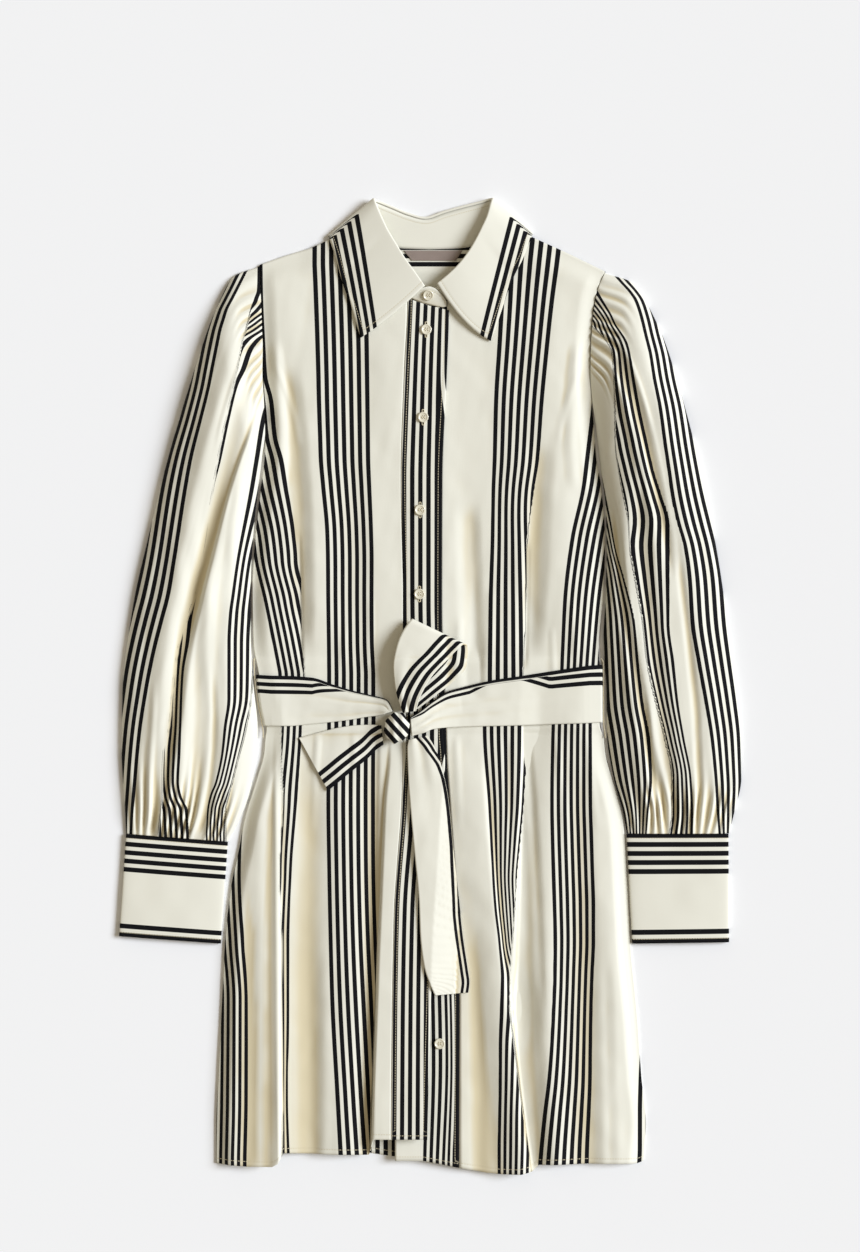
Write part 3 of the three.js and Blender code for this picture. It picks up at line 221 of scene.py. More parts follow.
COLLAR = table(
    "roll_x roll_y roll_z seam_x seam_y edge_x edge_y turn bow",
    [-6.2, 399, 13.6, -18, 387, -69.3, 348.2, 0, 2.5], [-16.5, 413.8, 14.6, -28, 394.5, -75, 366, 0, 1],
    [-25.7, 426.4, 15, -40, 404, -80.4, 383, 0, 0], [-34, 440, 15, -50, 414, -85, 396, 0, 0],
    [-43, 455, 14.5, -62, 427, -89.2, 409, 5, 0], [-50, 470, 13.5, -71, 439, -93, 424, 15, 0],
    [-54.5, 481, 12, -78, 450.4, -97, 437, 35, 0], [-56.5, 486.5, 8.5, -82, 457.3, -102, 450.4, 90, 0],
    [-54, 485.5, 5.2, -79, 456, -99.2, 450.2, 145, 0], [-49, 483.5, 3.8, -70, 449.5, -92, 437, 170, 0],
    [-38, 479, 3.2, -50, 441, -70, 428, 180, 0], [-22, 472.5, 3, -28, 438, -40, 422, 180, 0],
    [-5, 468.5, 3, 0, 437, 0, 420, 180, 0], [14, 474.5, 3, 28, 438, 40, 422, 180, 0],
    [34, 480, 3.2, 50, 441, 70, 428, 180, 0], [52, 484.5, 3.8, 70, 449.5, 92, 438, 170, 0],
    [59.5, 486.8, 5.2, 79, 456, 100.6, 453.4, 145, 0], [63, 487, 8.5, 82, 458.5, 103, 453, 90, 0],
    [61, 481, 12, 78.5, 452, 97.5, 440, 35, 0], [58, 470, 13.5, 72, 440, 92.7, 427, 15, 0],
    [52.4, 457.4, 14.5, 64, 428, 86, 414, 5, 0], [42, 437.5, 15, 54, 415, 79, 398, 0, 0],
    [30.5, 421.8, 15, 43, 404, 73, 380, 0, 1], [20.2, 411.5, 14.6, 31, 396, 67, 362, 0, 4],
    [7.5, 401, 13.6, 20, 387.5, 61, 345, 0, 8],
)
STAND_TAB = table(
    "top_x top_y seam_x seam_y rise",
    [16.5, 384.5, 16.5, 379.5, 1.2], [12, 391, 12.5, 378.8, 3], [4, 398, 4, 380.2, 4.2],
    [-1, 399.5, -7, 383.2, 4.4],
)
STAND_UNDER = table(
    "top_x top_y seam_x seam_y rise",
    [1, 396, 9, 382.8, 1.6], [-7, 391, -4, 380.9, 0.2], [-14, 388, -14, 380.4, 0],
)
SLEEVE_COLUMNS = "outer_x outer_y inner_x inner_y high gather"
SLEEVE_RIGHT = table(
    SLEEVE_COLUMNS,
    [-171, 421.5, -164.7, 256, 6.2, 0.8], [-195.3, 411, -168, 231, 17, 2.2],
    [-217, 371, -172.2, 196, 25, 1.2], [-238, 310, -176.6, 156, 25, 0], [-260, 237, -179.4, 106, 23, 0],
    [-281, 154, -179.6, 56, 21, 0], [-298, 77, -177.2, 6, 20, 0], [-308, -4, -172.6, -44, 19, 0],
    [-309, -64, -178.8, -99, 17.5, 0.3], [-305.5, -124, -192, -136, 14, 2.2],
    [-304.5, -148, -202.4, -156, 8.6, 1.1],
)
SLEEVE_LEFT = table(
    SLEEVE_COLUMNS,
    [176.4, 414.5, 162.8, 285, 6.2, 0.8], [201, 405, 166, 261, 17, 2.2], [232, 353, 171, 218, 25, 1.2],
    [250, 298, 176, 178, 25, 0], [262.6, 252, 177, 138, 24, 0], [278, 184, 176, 92, 22, 0],
    [289, 126, 173.8, 46, 20, 0], [301, 42, 176.8, -4, 19, 0], [311, -37, 177.4, -49, 18, 0],
    [312, -91, 184.4, -94, 17, 0.3], [306, -122, 193.2, -126, 14, 2.2],
    [299.6, -147.9, 197.2, -147.9, 8.6, 1.1],
)
SLEEVE_FOLD_COLUMNS = "start_share end_share start_row end_row left right start_high end_high"
SLEEVE_FOLDS_RIGHT = table(
    SLEEVE_FOLD_COLUMNS,
    [0.62, 0.5, 0.7, 5.2, 0.14, 0.12, -3, -3.4], [0.34, 0.28, 1, 9.6, 0.12, 0.12, 2.5, 2],
    [0.5, 0.62, 4, 9.8, 0.1, 0.1, -2, -3.5], [0.78, 0.8, 2, 9, 0.1, 0.1, 2, 2.5],
    [0.16, 0.12, 1.5, 8.6, 0.05, 0.06, -1.2, -1], [0.4, 0.36, 5.5, 9.8, 0.04, 0.05, -1.4, -1.6],
    [0.68, 0.7, 6, 9.8, 0.04, 0.04, -1.2, -1.6], [0.24, 0.22, 6.5, 9.8, 0.035, 0.04, 1, 1.4],
    [0.9, 0.88, 2.5, 7, 0.04, 0.05, -1.2, -1], [0.44, 0.42, 0.8, 3.2, 0.04, 0.04, 1.2, 0.6],
    [0.85, 0.5, 0.6, 6.2, 0.05, 0.2, 3, 3.4], [0.62, 0.3, 4, 10.4, 0.05, 0.22, 3.4, 3],
    [0.78, 0.43, 0.8, 6.4, 0.12, 0.06, -1.6, -2.2], [0.54, 0.22, 4, 10.3, 0.14, 0.05, -3.4, -3],
)
SLEEVE_FOLDS_LEFT = table(
    SLEEVE_FOLD_COLUMNS,
    [0.5, 0.42, 0.7, 6, 0.1, 0.1, -3, -4.5], [0.24, 0.22, 1, 10, 0.12, 0.12, 2.5, 2],
    [0.66, 0.55, 3, 10.6, 0.1, 0.1, -3, -4], [0.82, 0.78, 3, 10, 0.1, 0.1, 2, 2.5],
    [0.32, 0.34, 5, 10.4, 0.04, 0.05, -1.3, -1.6], [0.12, 0.1, 2, 9, 0.05, 0.06, -1.2, -1],
    [0.7, 0.72, 7, 10.6, 0.04, 0.04, -1.2, -1.6], [0.9, 0.88, 3, 8, 0.04, 0.05, -1.2, -1],
    [0.4, 0.38, 0.8, 3, 0.04, 0.05, 1.2, 0.6], [0.6, 0.62, 1, 4, 0.05, 0.05, 1.4, 0.8],
    [1.0, 0.56, 2, 11.5, 0.07, 0.06, -5, -4.6], [0.62, 0.42, 0.6, 6, 0.05, 0.12, 2.4, 2.8],
)
# Width of a belt end's striped edge along its run, and how much of the stripes shows on it.
STRIPES_WIDE = 20.6
TUCKS_NONE = table("run width shown", [0, 20.6, 20.6], [300, 20.6, 20.6])
TUCKS_TAIL = table(
    "run width shown",
    [0, 12, 16], [14, 10, 14], [28, 5, 7], [42, 3.2, 4.8], [110, 3.4, 4.8], [150, 6, 9], [180, 8, 13],
    [262, 8, 13],
)
# The belt's top edge is turned over near the knot, which hides two of its stripes.
TUCKS_WAIST = table(
    "x turned",
    [-200, 0], [-118, 0], [-84, 15.5], [-24, 15.5], [-6, 9], [12, 8], [40, 9], [56, 15.5], [92, 15.5],
    [120, 2], [200, 0],
)
GATHER_POINTS = 26
FLOOR = table(
    "share z",
    [0.99, 0.8], [0.965, 0], [0.82, 0], [0.66, 0], [0.5, 0], [0.34, 0], [0.18, 0], [0.035, 0], [0.01, 0.8],
)
SIDE_HIGH = 2.5
CUFFS = {
    "cuff_right": (-304.5, -148.4, -202.4, -156.4, -311.4, -250.5, -209.5, -258),
    "cuff_left": (299, -148.2, 196.8, -148.2, 299.6, -256.6, 202.4, -258),
}
CUFF_HIGH = 7.2
BELT_COLUMNS = "top_x top_y low_x low_y rise crease"
BELT_FRONT_RIGHT = table(
    BELT_COLUMNS,
    [-36.5, -25, -46.2, -27.8, 5, 0], [-43.2, -13.8, -52, -29.5, 2.5, 1.6], [-60, -9, -64, -31, 1, 1.8],
    [-78, -4.5, -82, -34, 0.6, 1.6], [-96, 1, -98, -36, 0.3, 1.2], [-118, 8.3, -118, -38, 0.2, 0.8],
    [-140, 10, -140, -40, 0.2, 0.4], [-150, 10.2, -150, -40, 0.4, 0.2], [-160, 10.4, -158, -40, 0.2, 0],
)
BELT_FRONT_LEFT = table(
    BELT_COLUMNS,
    [160, 20.4, 160, -37, 0.2, 0], [150, 19, 150, -37.4, 0.4, 0.1], [130, 16, 130, -38, 0.2, 0.2],
    [90, 9.7, 90, -39.4, 0.2, 0.4], [65, 6, 65, -40, 0.2, 0.8], [36, -0.5, 40, -40.5, 0.4, 1.2],
    [18, -5.5, 17, -41.5, 0.8, 1.6], [3, -15, 3, -43, 2, 1.8], [-10.5, -25.5, -5, -46.2, 4, 1.4],
    [-19.6, -31, -18.4, -50, 5.5, 0],
)
BELT_ENDS = table(
    "across right_x right_y left_x left_y",
    [0, -174, 11, 172.3, 21], [0.5, -171, -14, 172.3, -8], [1, -166, -40, 172.3, -36.5],
)
STRIP_COLUMNS = "left_x left_y right_x right_y rise"
BELT_LOOP = table(
    STRIP_COLUMNS,
    [-27, -26.6, -14, -24.8, 9], [-34, -4, -11, -14, 12], [-36.6, 20, 1, 8.5, 13], [-33, 41, 18, 27, 11.5],
    [-26, 57, 28, 37, 9.6], [-20.5, 64.4, 33.5, 41.5, 8.2], [-18.2, 67, 37, 40.5, 5.6],
    [-20.5, 64, 37.6, 35, 3.4], [-27, 52, 36, 20, 3], [-32, 31, 26, 7, 2.8], [-30, 1, 7, -8.4, 2.8],
    [-26, -25.6, -12, -22.6, 3],
)
BELT_TAIL_SHORT = table(
    STRIP_COLUMNS,
    [-48.6, -39.4, -46.6, -58.6, 3.5], [-60, -38.9, -53, -63, 2], [-74, -39.4, -62.3, -72.4, 1.2],
    [-90, -41.5, -73, -81, 1], [-105, -45, -83, -89, 0.8], [-118, -48.4, -92.5, -97, 0.7],
    [-131.2, -52, -102, -104.7, 0.6],
)
BELT_TAIL_LONG = table(
    STRIP_COLUMNS,
    [-21.2, -53.8, -2.6, -49.4, 5.6], [-22.6, -63, 5, -62, 3.8], [-21.8, -90, 13.5, -88, 2.6],
    [-19.7, -119, 19, -119, 2], [-15.4, -167, 23.6, -167, 2.6], [-11, -214, 29, -214, 2],
    [-9.6, -250, 33, -250, 1], [-5.5, -281, 38, -284, 1.1], [0, -297, 39.6, -296, 1],
    [5, -308.5, 38.4, -306.5, 0.8],
)
KNOT = table(
    "along half_wide half_high",
    [0, 9.6, 4.4], [0.2, 13.4, 6.1], [0.5, 15.5, 7.2], [0.8, 13.4, 6.1], [1, 9.6, 4.6],
)
KNOT_START = (-45.2, -39.4)
KNOT_END = (-21.2, -43.6)
KNOT_CENTRE_Z = 16
CARRIERS = table(
    "y right_x left_x z",
    [28, -176.1, 170.8, 4.2], [24, -176.3, 173.4, 4], [12, -175.9, 173.9, 3.4], [-12, -173.2, 173.9, 3],
    [-38, -168.2, 174, 3.2], [-46, -167.2, 175, 3.6], [-52, -167, 175.8, 4.2],
)
LABEL = (436, 426, -26.5, 32.5, -18.3, 26)
LABEL_THICK = 0.6
BUTTONS = table(
    "x y kind",
    [-1.8, 391.2, 0], [-3.8, 356.4, 1], [-6.9, 268.7, 1], [-10, 176, 1], [-10.5, 92, 1], [-10, 2, 1],
    [-9, -88, 1], [-9, -178, 1], [8.8, -268, 2], [9.6, -357.6, 2],
)
BUTTON_PROFILE = table(
    "radius z",
    [0, 0], [4.4, 0], [5.2, 0.5], [5.4, 1.1], [5.25, 1.8], [4.8, 2.2], [4.3, 2.2], [3.8, 1.85], [3.3, 1.6],
    [0, 1.5],
)

# Landmark lines of the stripes: for each height, places across and the cloth's own measure there.
STRIPES_BODICE_RIGHT = table(
    "down x0 u0 x1 u1 x2 u2 x3 u3 x4 u4 x5 u5",
    [264, 208, -102, 262, -48.8, 285, -26.3, 286, -25.5, 312.5, 0, 366.5, 53.2],
    [300, 209, -102, 262.8, -48.8, 285, -27, 286, -26, 314, 0, 367.5, 53.2],
    [345, 212, -102, 265, -48.8, 286, -28.5, 287, -27.5, 315.6, 0, 368.6, 53.2],
    [376, 213, -102, 267, -48.8, 287, -29, 288, -28, 316.5, 0, 369, 53.2],
    [400, 219, -102, 273, -48.8, 289, -31, 290, -29, 317, 0, 369.3, 53.2],
    [437, 223, -102, 277, -48.8, 292, -33, 293, -28, 318.2, 0, 369.7, 53.2],
    [460, 229, -102, 283, -48.8, 294, -38, 295, -27, 319, 0, 370, 53.2],
    [486, 236, -102, 287, -48.8, 297, -40, 298, -25, 321.3, 0, 371, 53.2],
    [532, 250, -102, 294.4, -48.8, 301.5, -42, 302.5, -23, 325.5, 0, 372.8, 53.2],
    [560, 254.5, -102, 296.7, -48.8, 302, -44, 303, -22, 326.2, 0, 373.4, 53.2],
    [600, 264, -102, 296, -60, 301.5, -54, 302.5, -24, 326.5, 0, 373.2, 53.2],
    [640, 272, -102, 300, -65.2, 303, -62, 304, -24, 327, 0, 373.4, 53.2],
    [673, 278.5, -102, 304, -68, 305.5, -65, 306.5, -20, 327.3, 0, 375, 53.2],
)
STRIPES_SKIRT_RIGHT = table(
    "down x0 u0 x1 u1 x2 u2 x3 u3 x4 u4 x5 u5 x6 u6 x7 u7",
    [700, 200, -204, 246, -150.8, 279, -119, 280, -80, 303, -48.8, 327, 0, 391, 70, 393, 72],
    [740, 203, -204, 245, -150.8, 279.7, -118, 280.5, -77, 301, -48.8, 327, 0, 388, 67.6, 390, 70],
    [800, 201, -204, 243, -150.8, 280.7, -116, 281.5, -69, 297, -48.8, 326.5, 0, 384.5, 64, 386.5, 70],
    [870, 199, -204, 240.5, -150.8, 278, -114, 278.8, -69.5, 291.5, -48.8, 327.5, 0, 381, 59.9, 383, 72],
    [944, 204, -204, 244, -150.8, 280.2, -114, 281, -61.5, 289, -48.8, 329, 0, 377.5, 53.5, 379.5, 74],
    [1000, 209, -204, 247.5, -150.8, 280.6, -116, 281.4, -61.5, 289, -48.8, 330.5, 0, 375.6, 48, 377.6, 75],
    [1100, 208, -204, 247.3, -150.8, 281.5, -115, 282.3, -61.5, 287.3, -48.8, 336, 0, 372, 38.3, 374, 75],
    [1157, 207, -204, 246, -150.8, 281, -115, 281.8, -61.5, 289.5, -48.8, 339, 0, 370, 31.7, 372, 75],
)
STRIPES_BODICE_LEFT = table(
    "down x0 u0 x1 u1 x2 u2 x3 u3 x4 u4 x5 u5",
    [240, 448, -45, 503, 0, 562, 53.2, 563, 54.2, 612, 102, 668, 155.2],
    [264, 447.5, -45, 501, 0, 559, 53.2, 560, 54.2, 608, 102, 665, 155.2],
    [300, 447, -45, 500, 0, 554, 53.2, 555, 54.2, 604, 102, 660, 155.2],
    [340, 447, -45, 498, 0, 549.5, 53.2, 550.5, 54.2, 599, 102, 654, 155.2],
    [400, 445, -45, 494.4, 0, 543.6, 53.2, 544.6, 54.5, 592.5, 102, 646, 155.2],
    [460, 443, -45, 493, 0, 539, 53.2, 540, 55, 585, 102, 637, 155.2],
    [486, 442, -45, 492, 0, 535, 53.2, 536, 58, 582, 102, 630, 155.2],
    [540, 441.5, -45, 491, 0, 527.5, 45, 528.5, 66, 570.5, 102, 617, 155.2],
    [600, 441, -45, 489, 0, 526, 41, 527, 70, 563.5, 102, 607, 155.2],
    [673, 442, -45, 488, 0, 523.5, 37, 524.5, 72, 560.5, 102, 600, 155.2],
)
STRIPES_SKIRT_LEFT = table(
    "down x0 u0 x1 u1 x2 u2 x3 u3 x4 u4 x5 u5 x6 u6",
    [700, 446, -45, 486, 0, 528, 53.2, 529, 76, 553, 102, 592, 155.2, 640, 204],
    [727, 447, -45, 483, 0, 528, 53.2, 529, 76, 552, 102, 591.7, 155.2, 640, 204],
    [803, 449.5, -45, 488, 0, 524.5, 53.2, 525.5, 76, 550.5, 102, 592, 155.2, 642, 204],
    [838, 452, -45, 490, 0, 521, 53.2, 522, 76, 551, 102, 593, 155.2, 643, 204],
    [872, 454, -45, 492, 0, 517.6, 53.2, 518.6, 74, 552, 102, 594, 155.2, 645, 204],
    [907, 456, -45, 494.5, 0, 515, 46, 516, 74, 553, 102, 595, 155.2, 645, 204],
    [941, 457.5, -45, 498.6, 0, 513, 37, 514, 72, 553.8, 102, 595, 155.2, 644, 204],
    [976, 459, -45, 501, 0, 510.7, 14, 511.7, 72, 553.5, 102, 593.5, 155.2, 643, 204],
    [1010, 459.5, -45, 500, 0, 510, 12, 511, 72, 552.2, 102, 592.5, 155.2, 642, 204],
    [1045, 460.4, -45, 499, 0, 514, 20, 515, 72, 550.3, 102, 592, 155.2, 641, 204],
    [1079, 460.2, -45, 499, 0, 518.6, 28, 519.6, 76, 547.6, 102, 591.7, 155.2, 639, 204],
    [1114, 460, -45, 498.6, 0, 523.4, 36.8, 524.4, 84, 543.4, 102, 590.5, 155.2, 638, 204],
    [1148, 459.4, -45, 498, 0, 529, 45, 530, 92, 540, 102, 589, 155.2, 638, 204],
    [1172, 459, -45, 498, 0, 531.7, 50, 532.7, 96, 538, 102, 588.5, 155.2, 637, 204],
)
STRIPES_PLACKET = table(
    "down x0 u0 x1 u1 x2 u2",
    [282, 408.5, -1.5, 440, 32.8, 449.5, 45.2], [305, 407.4, -1.5, 438.9, 32.8, 449, 45.2],
    [370, 404.5, -1.5, 436.6, 32.8, 447, 43.5], [420, 402.5, -1.5, 435.6, 32.8, 445, 37.2],
    [480, 400.7, -1.5, 434.6, 32.8, 442.6, 36.9], [600, 401, -1.5, 434.5, 32.8, 441.8, 36.7],
    [731, 402.4, -4, 438, 32.8, 446, 36.8], [745, 402.4, -4, 438, 32.8, 446, 37],
    [800, 401.5, -1.5, 434.5, 32.8, 442, 45], [910, 394, -1.5, 425.5, 32.8, 435, 44],
    [1009, 392, -1.5, 424, 32.8, 430.6, 39], [1138, 391, -1.5, 423.5, 32.8, 427.3, 36.5],
)
STRIPES_BAND = table(
    "down x0 u0 x1 u1 x2 u2 x3 u3",
    [300, 404, -10, 432, 32.8, 440, 41, 447.5, 44.9],
    [731, 404, -8, 431.2, 32.8, 439.2, 41, 446.5, 44.9],
    [800, 409, -6, 434.5, 32.8, 442.3, 41, 449.6, 44.9],
    [900, 421, -1, 442, 26.6, 450.5, 41, 457, 44.9],
    [1063, 425.5, 0.5, 447.3, 26.6, 454.6, 41, 460.4, 44.9],
    [1161, 422, -1.5, 443.6, 26.6, 452.5, 41, 459, 44.9],
)
STRIPES_SLEEVE_RIGHT = table(
    "down x0 u0 x1 u1 x2 u2 x3 u3 x4 u4 x5 u5 x6 u6 x7 u7",
    [265, 206, -102, 250, -48.8, 256, -1, 257, -0.5, 316, 53.2, 360, 102, 394, 136, 395, 157],
    [290, 196, -102, 238, -48.8, 255, -2, 256, -1, 308, 53.2, 348, 102, 382, 136, 383, 157],
    [300, 191, -102, 233, -48.8, 252, -2, 253, -1, 303, 53.2, 340, 102, 374, 136, 375, 157],
    [310, 186, -102, 228, -48.8, 250, -2, 251, 4, 300, 53.2, 335, 102, 369, 136, 370, 157],
    [320, 182, -102, 225, -48.8, 248, -2, 249, 13, 280.6, 53.2, 325, 102, 359, 136, 360, 157],
    [330, 179, -102, 222, -48.8, 245.5, -2, 246.5, 27, 271.7, 53.2, 315, 102, 349, 136, 350, 157],
    [340, 176, -102, 220, -48.8, 242.7, -2, 243.5, 39, 260, 53.2, 303, 102, 337, 136, 338, 157],
    [350, 174, -102, 218, -48.8, 240.7, -2, 241.5, 43.5, 253, 53.2, 295, 102, 329, 136, 330, 157],
    [370, 171, -102, 214, -48.8, 237.2, -2, 238, 46, 246, 53.2, 282, 102, 316, 136, 317, 157],
    [386, 168, -102, 211, -48.8, 234.2, -2, 235, 49, 238.8, 53.4, 273, 102, 307, 136, 308, 157],
    [415, 160, -102, 204, -48.8, 227.2, -2, 228, 49, 231.4, 53.4, 262, 102, 296, 136, 297, 157],
    [459, 145, -102, 193, -48.8, 218.2, -2, 219, 49, 222, 53.4, 255, 102, 287, 136, 288, 157],
    [490, 137, -102, 187.5, -48.8, 213, -2, 213.8, 53.5, 214.6, 54, 250, 102, 281, 136, 282, 157],
    [560, 126, -102, 176.6, -48.8, 201.5, -2, 202.3, 54, 203, 55, 237.2, 102, 260, 136, 261, 157],
    [596, 117, -102, 170.5, -48.8, 195.4, -2, 196.2, 52, 197, 54, 232, 102, 255, 135, 256, 157],
    [615, 112, -102, 165.5, -48.8, 188.2, -2, 189, 49, 193, 53.4, 229.4, 102, 252.8, 134, 254, 157],
    [643, 106, -102, 158, -48.8, 179.2, -2, 180, 42, 189.5, 53.4, 228, 102, 252.3, 135, 253.4, 157],
    [671, 101, -102, 151.7, -48.8, 174.7, -2, 175.5, 38, 184.4, 53.4, 228, 102, 252, 135, 253.2, 157],
    [699, 98, -102, 146.5, -48.8, 171.7, -2, 172.5, 35, 182.8, 53.4, 228, 102, 250.3, 134, 251.5, 157],
    [727, 95, -102, 142, -48.8, 168.9, -2, 169.7, 32, 182, 53.4, 224.4, 102, 246, 137, 247.2, 157],
    [754, 93, -102, 139, -48.8, 163.2, -2, 164, 27, 181, 53.4, 221.7, 102, 239, 136, 240.2, 157],
    [782, 92, -102, 136.4, -48.8, 162, -2, 162.8, 25, 179.5, 53.4, 215.6, 102, 232, 136, 233.2, 157],
    [796, 92, -102, 135, -48.8, 162, -2, 162.8, 22, 182, 53.4, 210, 102, 228, 138, 229.2, 157],
    [810, 93, -102, 133.5, -48.8, 160.6, -2, 161.4, 14, 188, 53.4, 207.2, 102, 225, 142, 226.2, 157],
    [834, 96, -102, 131.7, -48.8, 157.8, -2, 158.6, 8, 189, 53.4, 205.8, 102, 225, 148, 226.2, 157],
)
STRIPES_SLEEVE_LEFT = table(
    "down x0 u0 x1 u1 x2 u2 x3 u3 x4 u4 x5 u5 x6 u6",
    [262, 545, -102, 575, -48.8, 587, 0, 588, 53.4, 589, 54, 604, 102, 650, 155.2],
    [283, 550, -102, 580, -48.8, 592, 20, 593, 53.4, 594, 54, 621, 102, 664, 155.2],
    [291, 552, -102, 582, -48.8, 593, 46, 594.5, 50, 598.5, 53.6, 628, 102, 670, 155.2],
    [300, 553, -102, 584, -48.8, 592.5, 36, 594, 40, 603, 53.4, 634, 102, 676, 155.2],
    [313, 554, -102, 586, -48.8, 592, 18, 593.5, 22, 610.5, 53.4, 638.5, 102, 680, 155.2],
    [325, 555, -102, 587, -48.8, 591.5, 1, 593, 6, 616, 53.4, 641.5, 102, 683, 155.2],
    [332, 556, -102, 588, -48.8, 598, -2, 599, 14, 620.5, 53.4, 643, 102, 684, 155.2],
    [342, 557, -102, 589, -48.8, 606, -2, 607, 22, 626.5, 53.4, 645.3, 102, 687, 155.2],
    [353, 558, -102, 589.5, -48.8, 611, -2, 612, 24, 629.5, 53.4, 648, 102, 690, 155.2],
    [378, 560, -102, 590, -48.8, 612.6, -2, 613.6, 24.6, 633.8, 53.4, 651.8, 102, 694.5, 155.2],
    [408, 563, -102, 591, -48.8, 613.7, -2, 614.7, 22, 639.3, 53.4, 657.6, 102, 702, 155.2],
    [445, 568, -102, 595, -48.8, 614.2, -2, 615.2, 14, 647.5, 53.4, 662.6, 102, 708, 155.2],
    [471, 575, -102, 601, -48.8, 617.5, -2, 618.5, 11, 653.5, 53.4, 666.5, 102, 713, 155.2],
    [496, 582, -102, 606, -48.8, 622, -2, 623, 9.6, 661.5, 53.4, 670, 102, 719, 155.2],
    [522, 589, -102, 611, -48.8, 627, -2, 628, 12, 669, 53.4, 675.5, 102, 726, 155.2],
    [548, 596, -102, 615.5, -48.8, 628.5, -2, 629.5, 16, 669.3, 53.4, 683, 102, 732, 155.2],
    [578, 598, -102, 624, -48.8, 633.5, -2, 634.5, 16.2, 669, 53.4, 687, 102, 738, 155.2],
    [624, 598, -102, 635, -48.8, 641.6, -2, 642.6, 16.4, 669, 53.4, 690, 102, 742, 155.2],
    [660, 599, -102, 638.5, -48.8, 645.5, -2, 646.5, 16.4, 673.5, 53.4, 696, 102, 746, 155.2],
    [703, 600, -102, 643.5, -48.8, 655, -2, 656, 16.4, 678, 53.4, 704, 102, 751, 155.2],
    [739, 605, -102, 650, -48.8, 664, -2, 665, 16.4, 684, 53.4, 710, 102, 754, 155.2],
    [777, 612, -102, 652, -48.8, 671, -2, 672, 16.4, 691, 53.4, 714, 102, 754, 155.2],
    [815, 624, -102, 648, -48.8, 671, -2, 672, 16.4, 693, 53.4, 717, 102, 750, 155.2],
    [834, 627, -102, 646.7, -48.8, 668.7, -2, 669.7, 16.4, 693, 53.4, 719, 102, 746, 155.2],
)
CUFF_STRIPES = table("depth place", [0, 17.1], [40, 55.7], [92.5, 104], [103, 114.2])
STRIPES_COLLAR_RIGHT = table(
    "down x0 u0 x1 u1",
    [200, 298, 0, 356, 53.2], [216, 302, 0, 359, 53.2], [326, 329.7, 0, 376.5, 53.2],
    [340, 332.5, 0, 378.5, 53.2],
)
STRIPES_COLLAR_LEFT = table(
    "down x0 u0 x1 u1",
    [200, 514, 102, 570, 155.2], [216, 510, 102, 566, 155.2], [332, 481, 102, 532, 155.2],
    [343, 478.5, 102, 529, 155.2],
)


def smooth(value):
    """Smooth step: three squares less two cubes of the value, held between 0 and 1."""
    value = np.clip(value, 0, 1)
    return value * value * (3 - 2 * value)


def mix(start, end, share):
    """Start, and the share of the way from it to the end."""
    return start + (end - start) * share


def packed(*parts):
    """Values side by side on a new last axis: places in space, or the two measures of a map."""
    return np.stack(np.broadcast_arrays(*parts), -1)


def lengths(points, axis=0):
    """Length run along each line of points, from 0 at its first."""
    steps = np.linalg.norm(np.diff(points, axis=axis), axis=-1)
    first = np.zeros_like(np.take(steps, [0], axis))
    return np.concatenate([first, np.cumsum(steps, axis)], axis)


def hermite(keys, values):
    """Cubic curve through the points, with the harmonic mean of the steps beside each as its slope."""
    order = np.argsort(keys)
    keys = np.asarray(keys, float)[order]
    values = np.asarray(values, float)[order]
    steps = np.diff(values) / np.diff(keys)
    before = np.concatenate([steps[:1], steps])
    after = np.concatenate([steps, steps[-1:]])
    product = before * after
    total = np.where(product > 0, before + after, 1)
    slopes = np.where(product > 0, 2 * product / total, 0)

    def read(at):
        """Value of the curve at the given places, level past both ends."""
        at = np.clip(at, keys[0], keys[-1])
        i = np.clip(np.searchsorted(keys, at, side="left") - 1, 0, len(keys) - 2)
        width = keys[i + 1] - keys[i]
        t = (at - keys[i]) / width
        ease = t * t * (3 - 2 * t)
        start = width * slopes[i] * t * (1 - t) ** 2
        end = width * slopes[i + 1] * t * t * (1 - t)
        return values[i] + (values[i + 1] - values[i]) * ease + start - end

    return read


def along(tab, name):
    """Column as a curve of the table's first column."""
    return hermite(tab["rows"][:, 0], column(tab, name))


def sections(tab, row):
    """Every column at the given places between the rows."""
    index = np.arange(len(tab["rows"]))
    return {name: hermite(index, column(tab, name))(row) for name in tab["columns"]}


def outline(tab):
    """Straight steps between corner points."""
    return lambda x: np.interp(x, tab["rows"][:, 0], tab["rows"][:, 1])


left_side = along(SIDES, "left")
right_side = along(SIDES, "right")
placket_left = along(OPENING, "placket_left")
placket_right = along(OPENING, "placket_right")
band_seam = along(OPENING, "band_seam")
fold_line = along(OPENING, "fold")
fold_lift = along(OPENING, "lift")
fullness = along(FULLNESS, "rise")
shoulder = outline(BACK_TOP)


def rumple(x, y, wide, tall, seed):
    """Soft noise: seeded heights on a lattice of the given cell, joined by smooth steps."""
    lattice = np.random.default_rng(seed).uniform(-1, 1, (256, 256))
    across = x / wide + 128
    up = y / tall + 128
    i = np.floor(across).astype(int)
    j = np.floor(up).astype(int)
    a = smooth(across - i)
    b = smooth(up - j)
    i %= 255
    j %= 255
    low = mix(lattice[i, j], lattice[i + 1, j], a)
    high = mix(lattice[i, j + 1], lattice[i + 1, j + 1], a)
    return mix(low, high, b)


def fold_heights(tab, x, y):
    """Sum of bells across each fold's crest, faded in at its start and out at its end."""
    total = np.zeros(np.broadcast(x, y).shape)
    for start_x, start_y, end_x, end_y, bow, left, right, start_high, end_high in tab["rows"]:
        t = (start_y - y) / (start_y - end_y)
        crest = mix(start_x, end_x, t) + bow * 4 * t * (1 - t)
        away = np.where(x < crest, (crest - x) / left, (x - crest) / right)
        fade = smooth(t / 0.14) * smooth((1 - t) / 0.14)
        total = total + mix(start_high, end_high, t) * fade * smooth(1 - away)
    return total


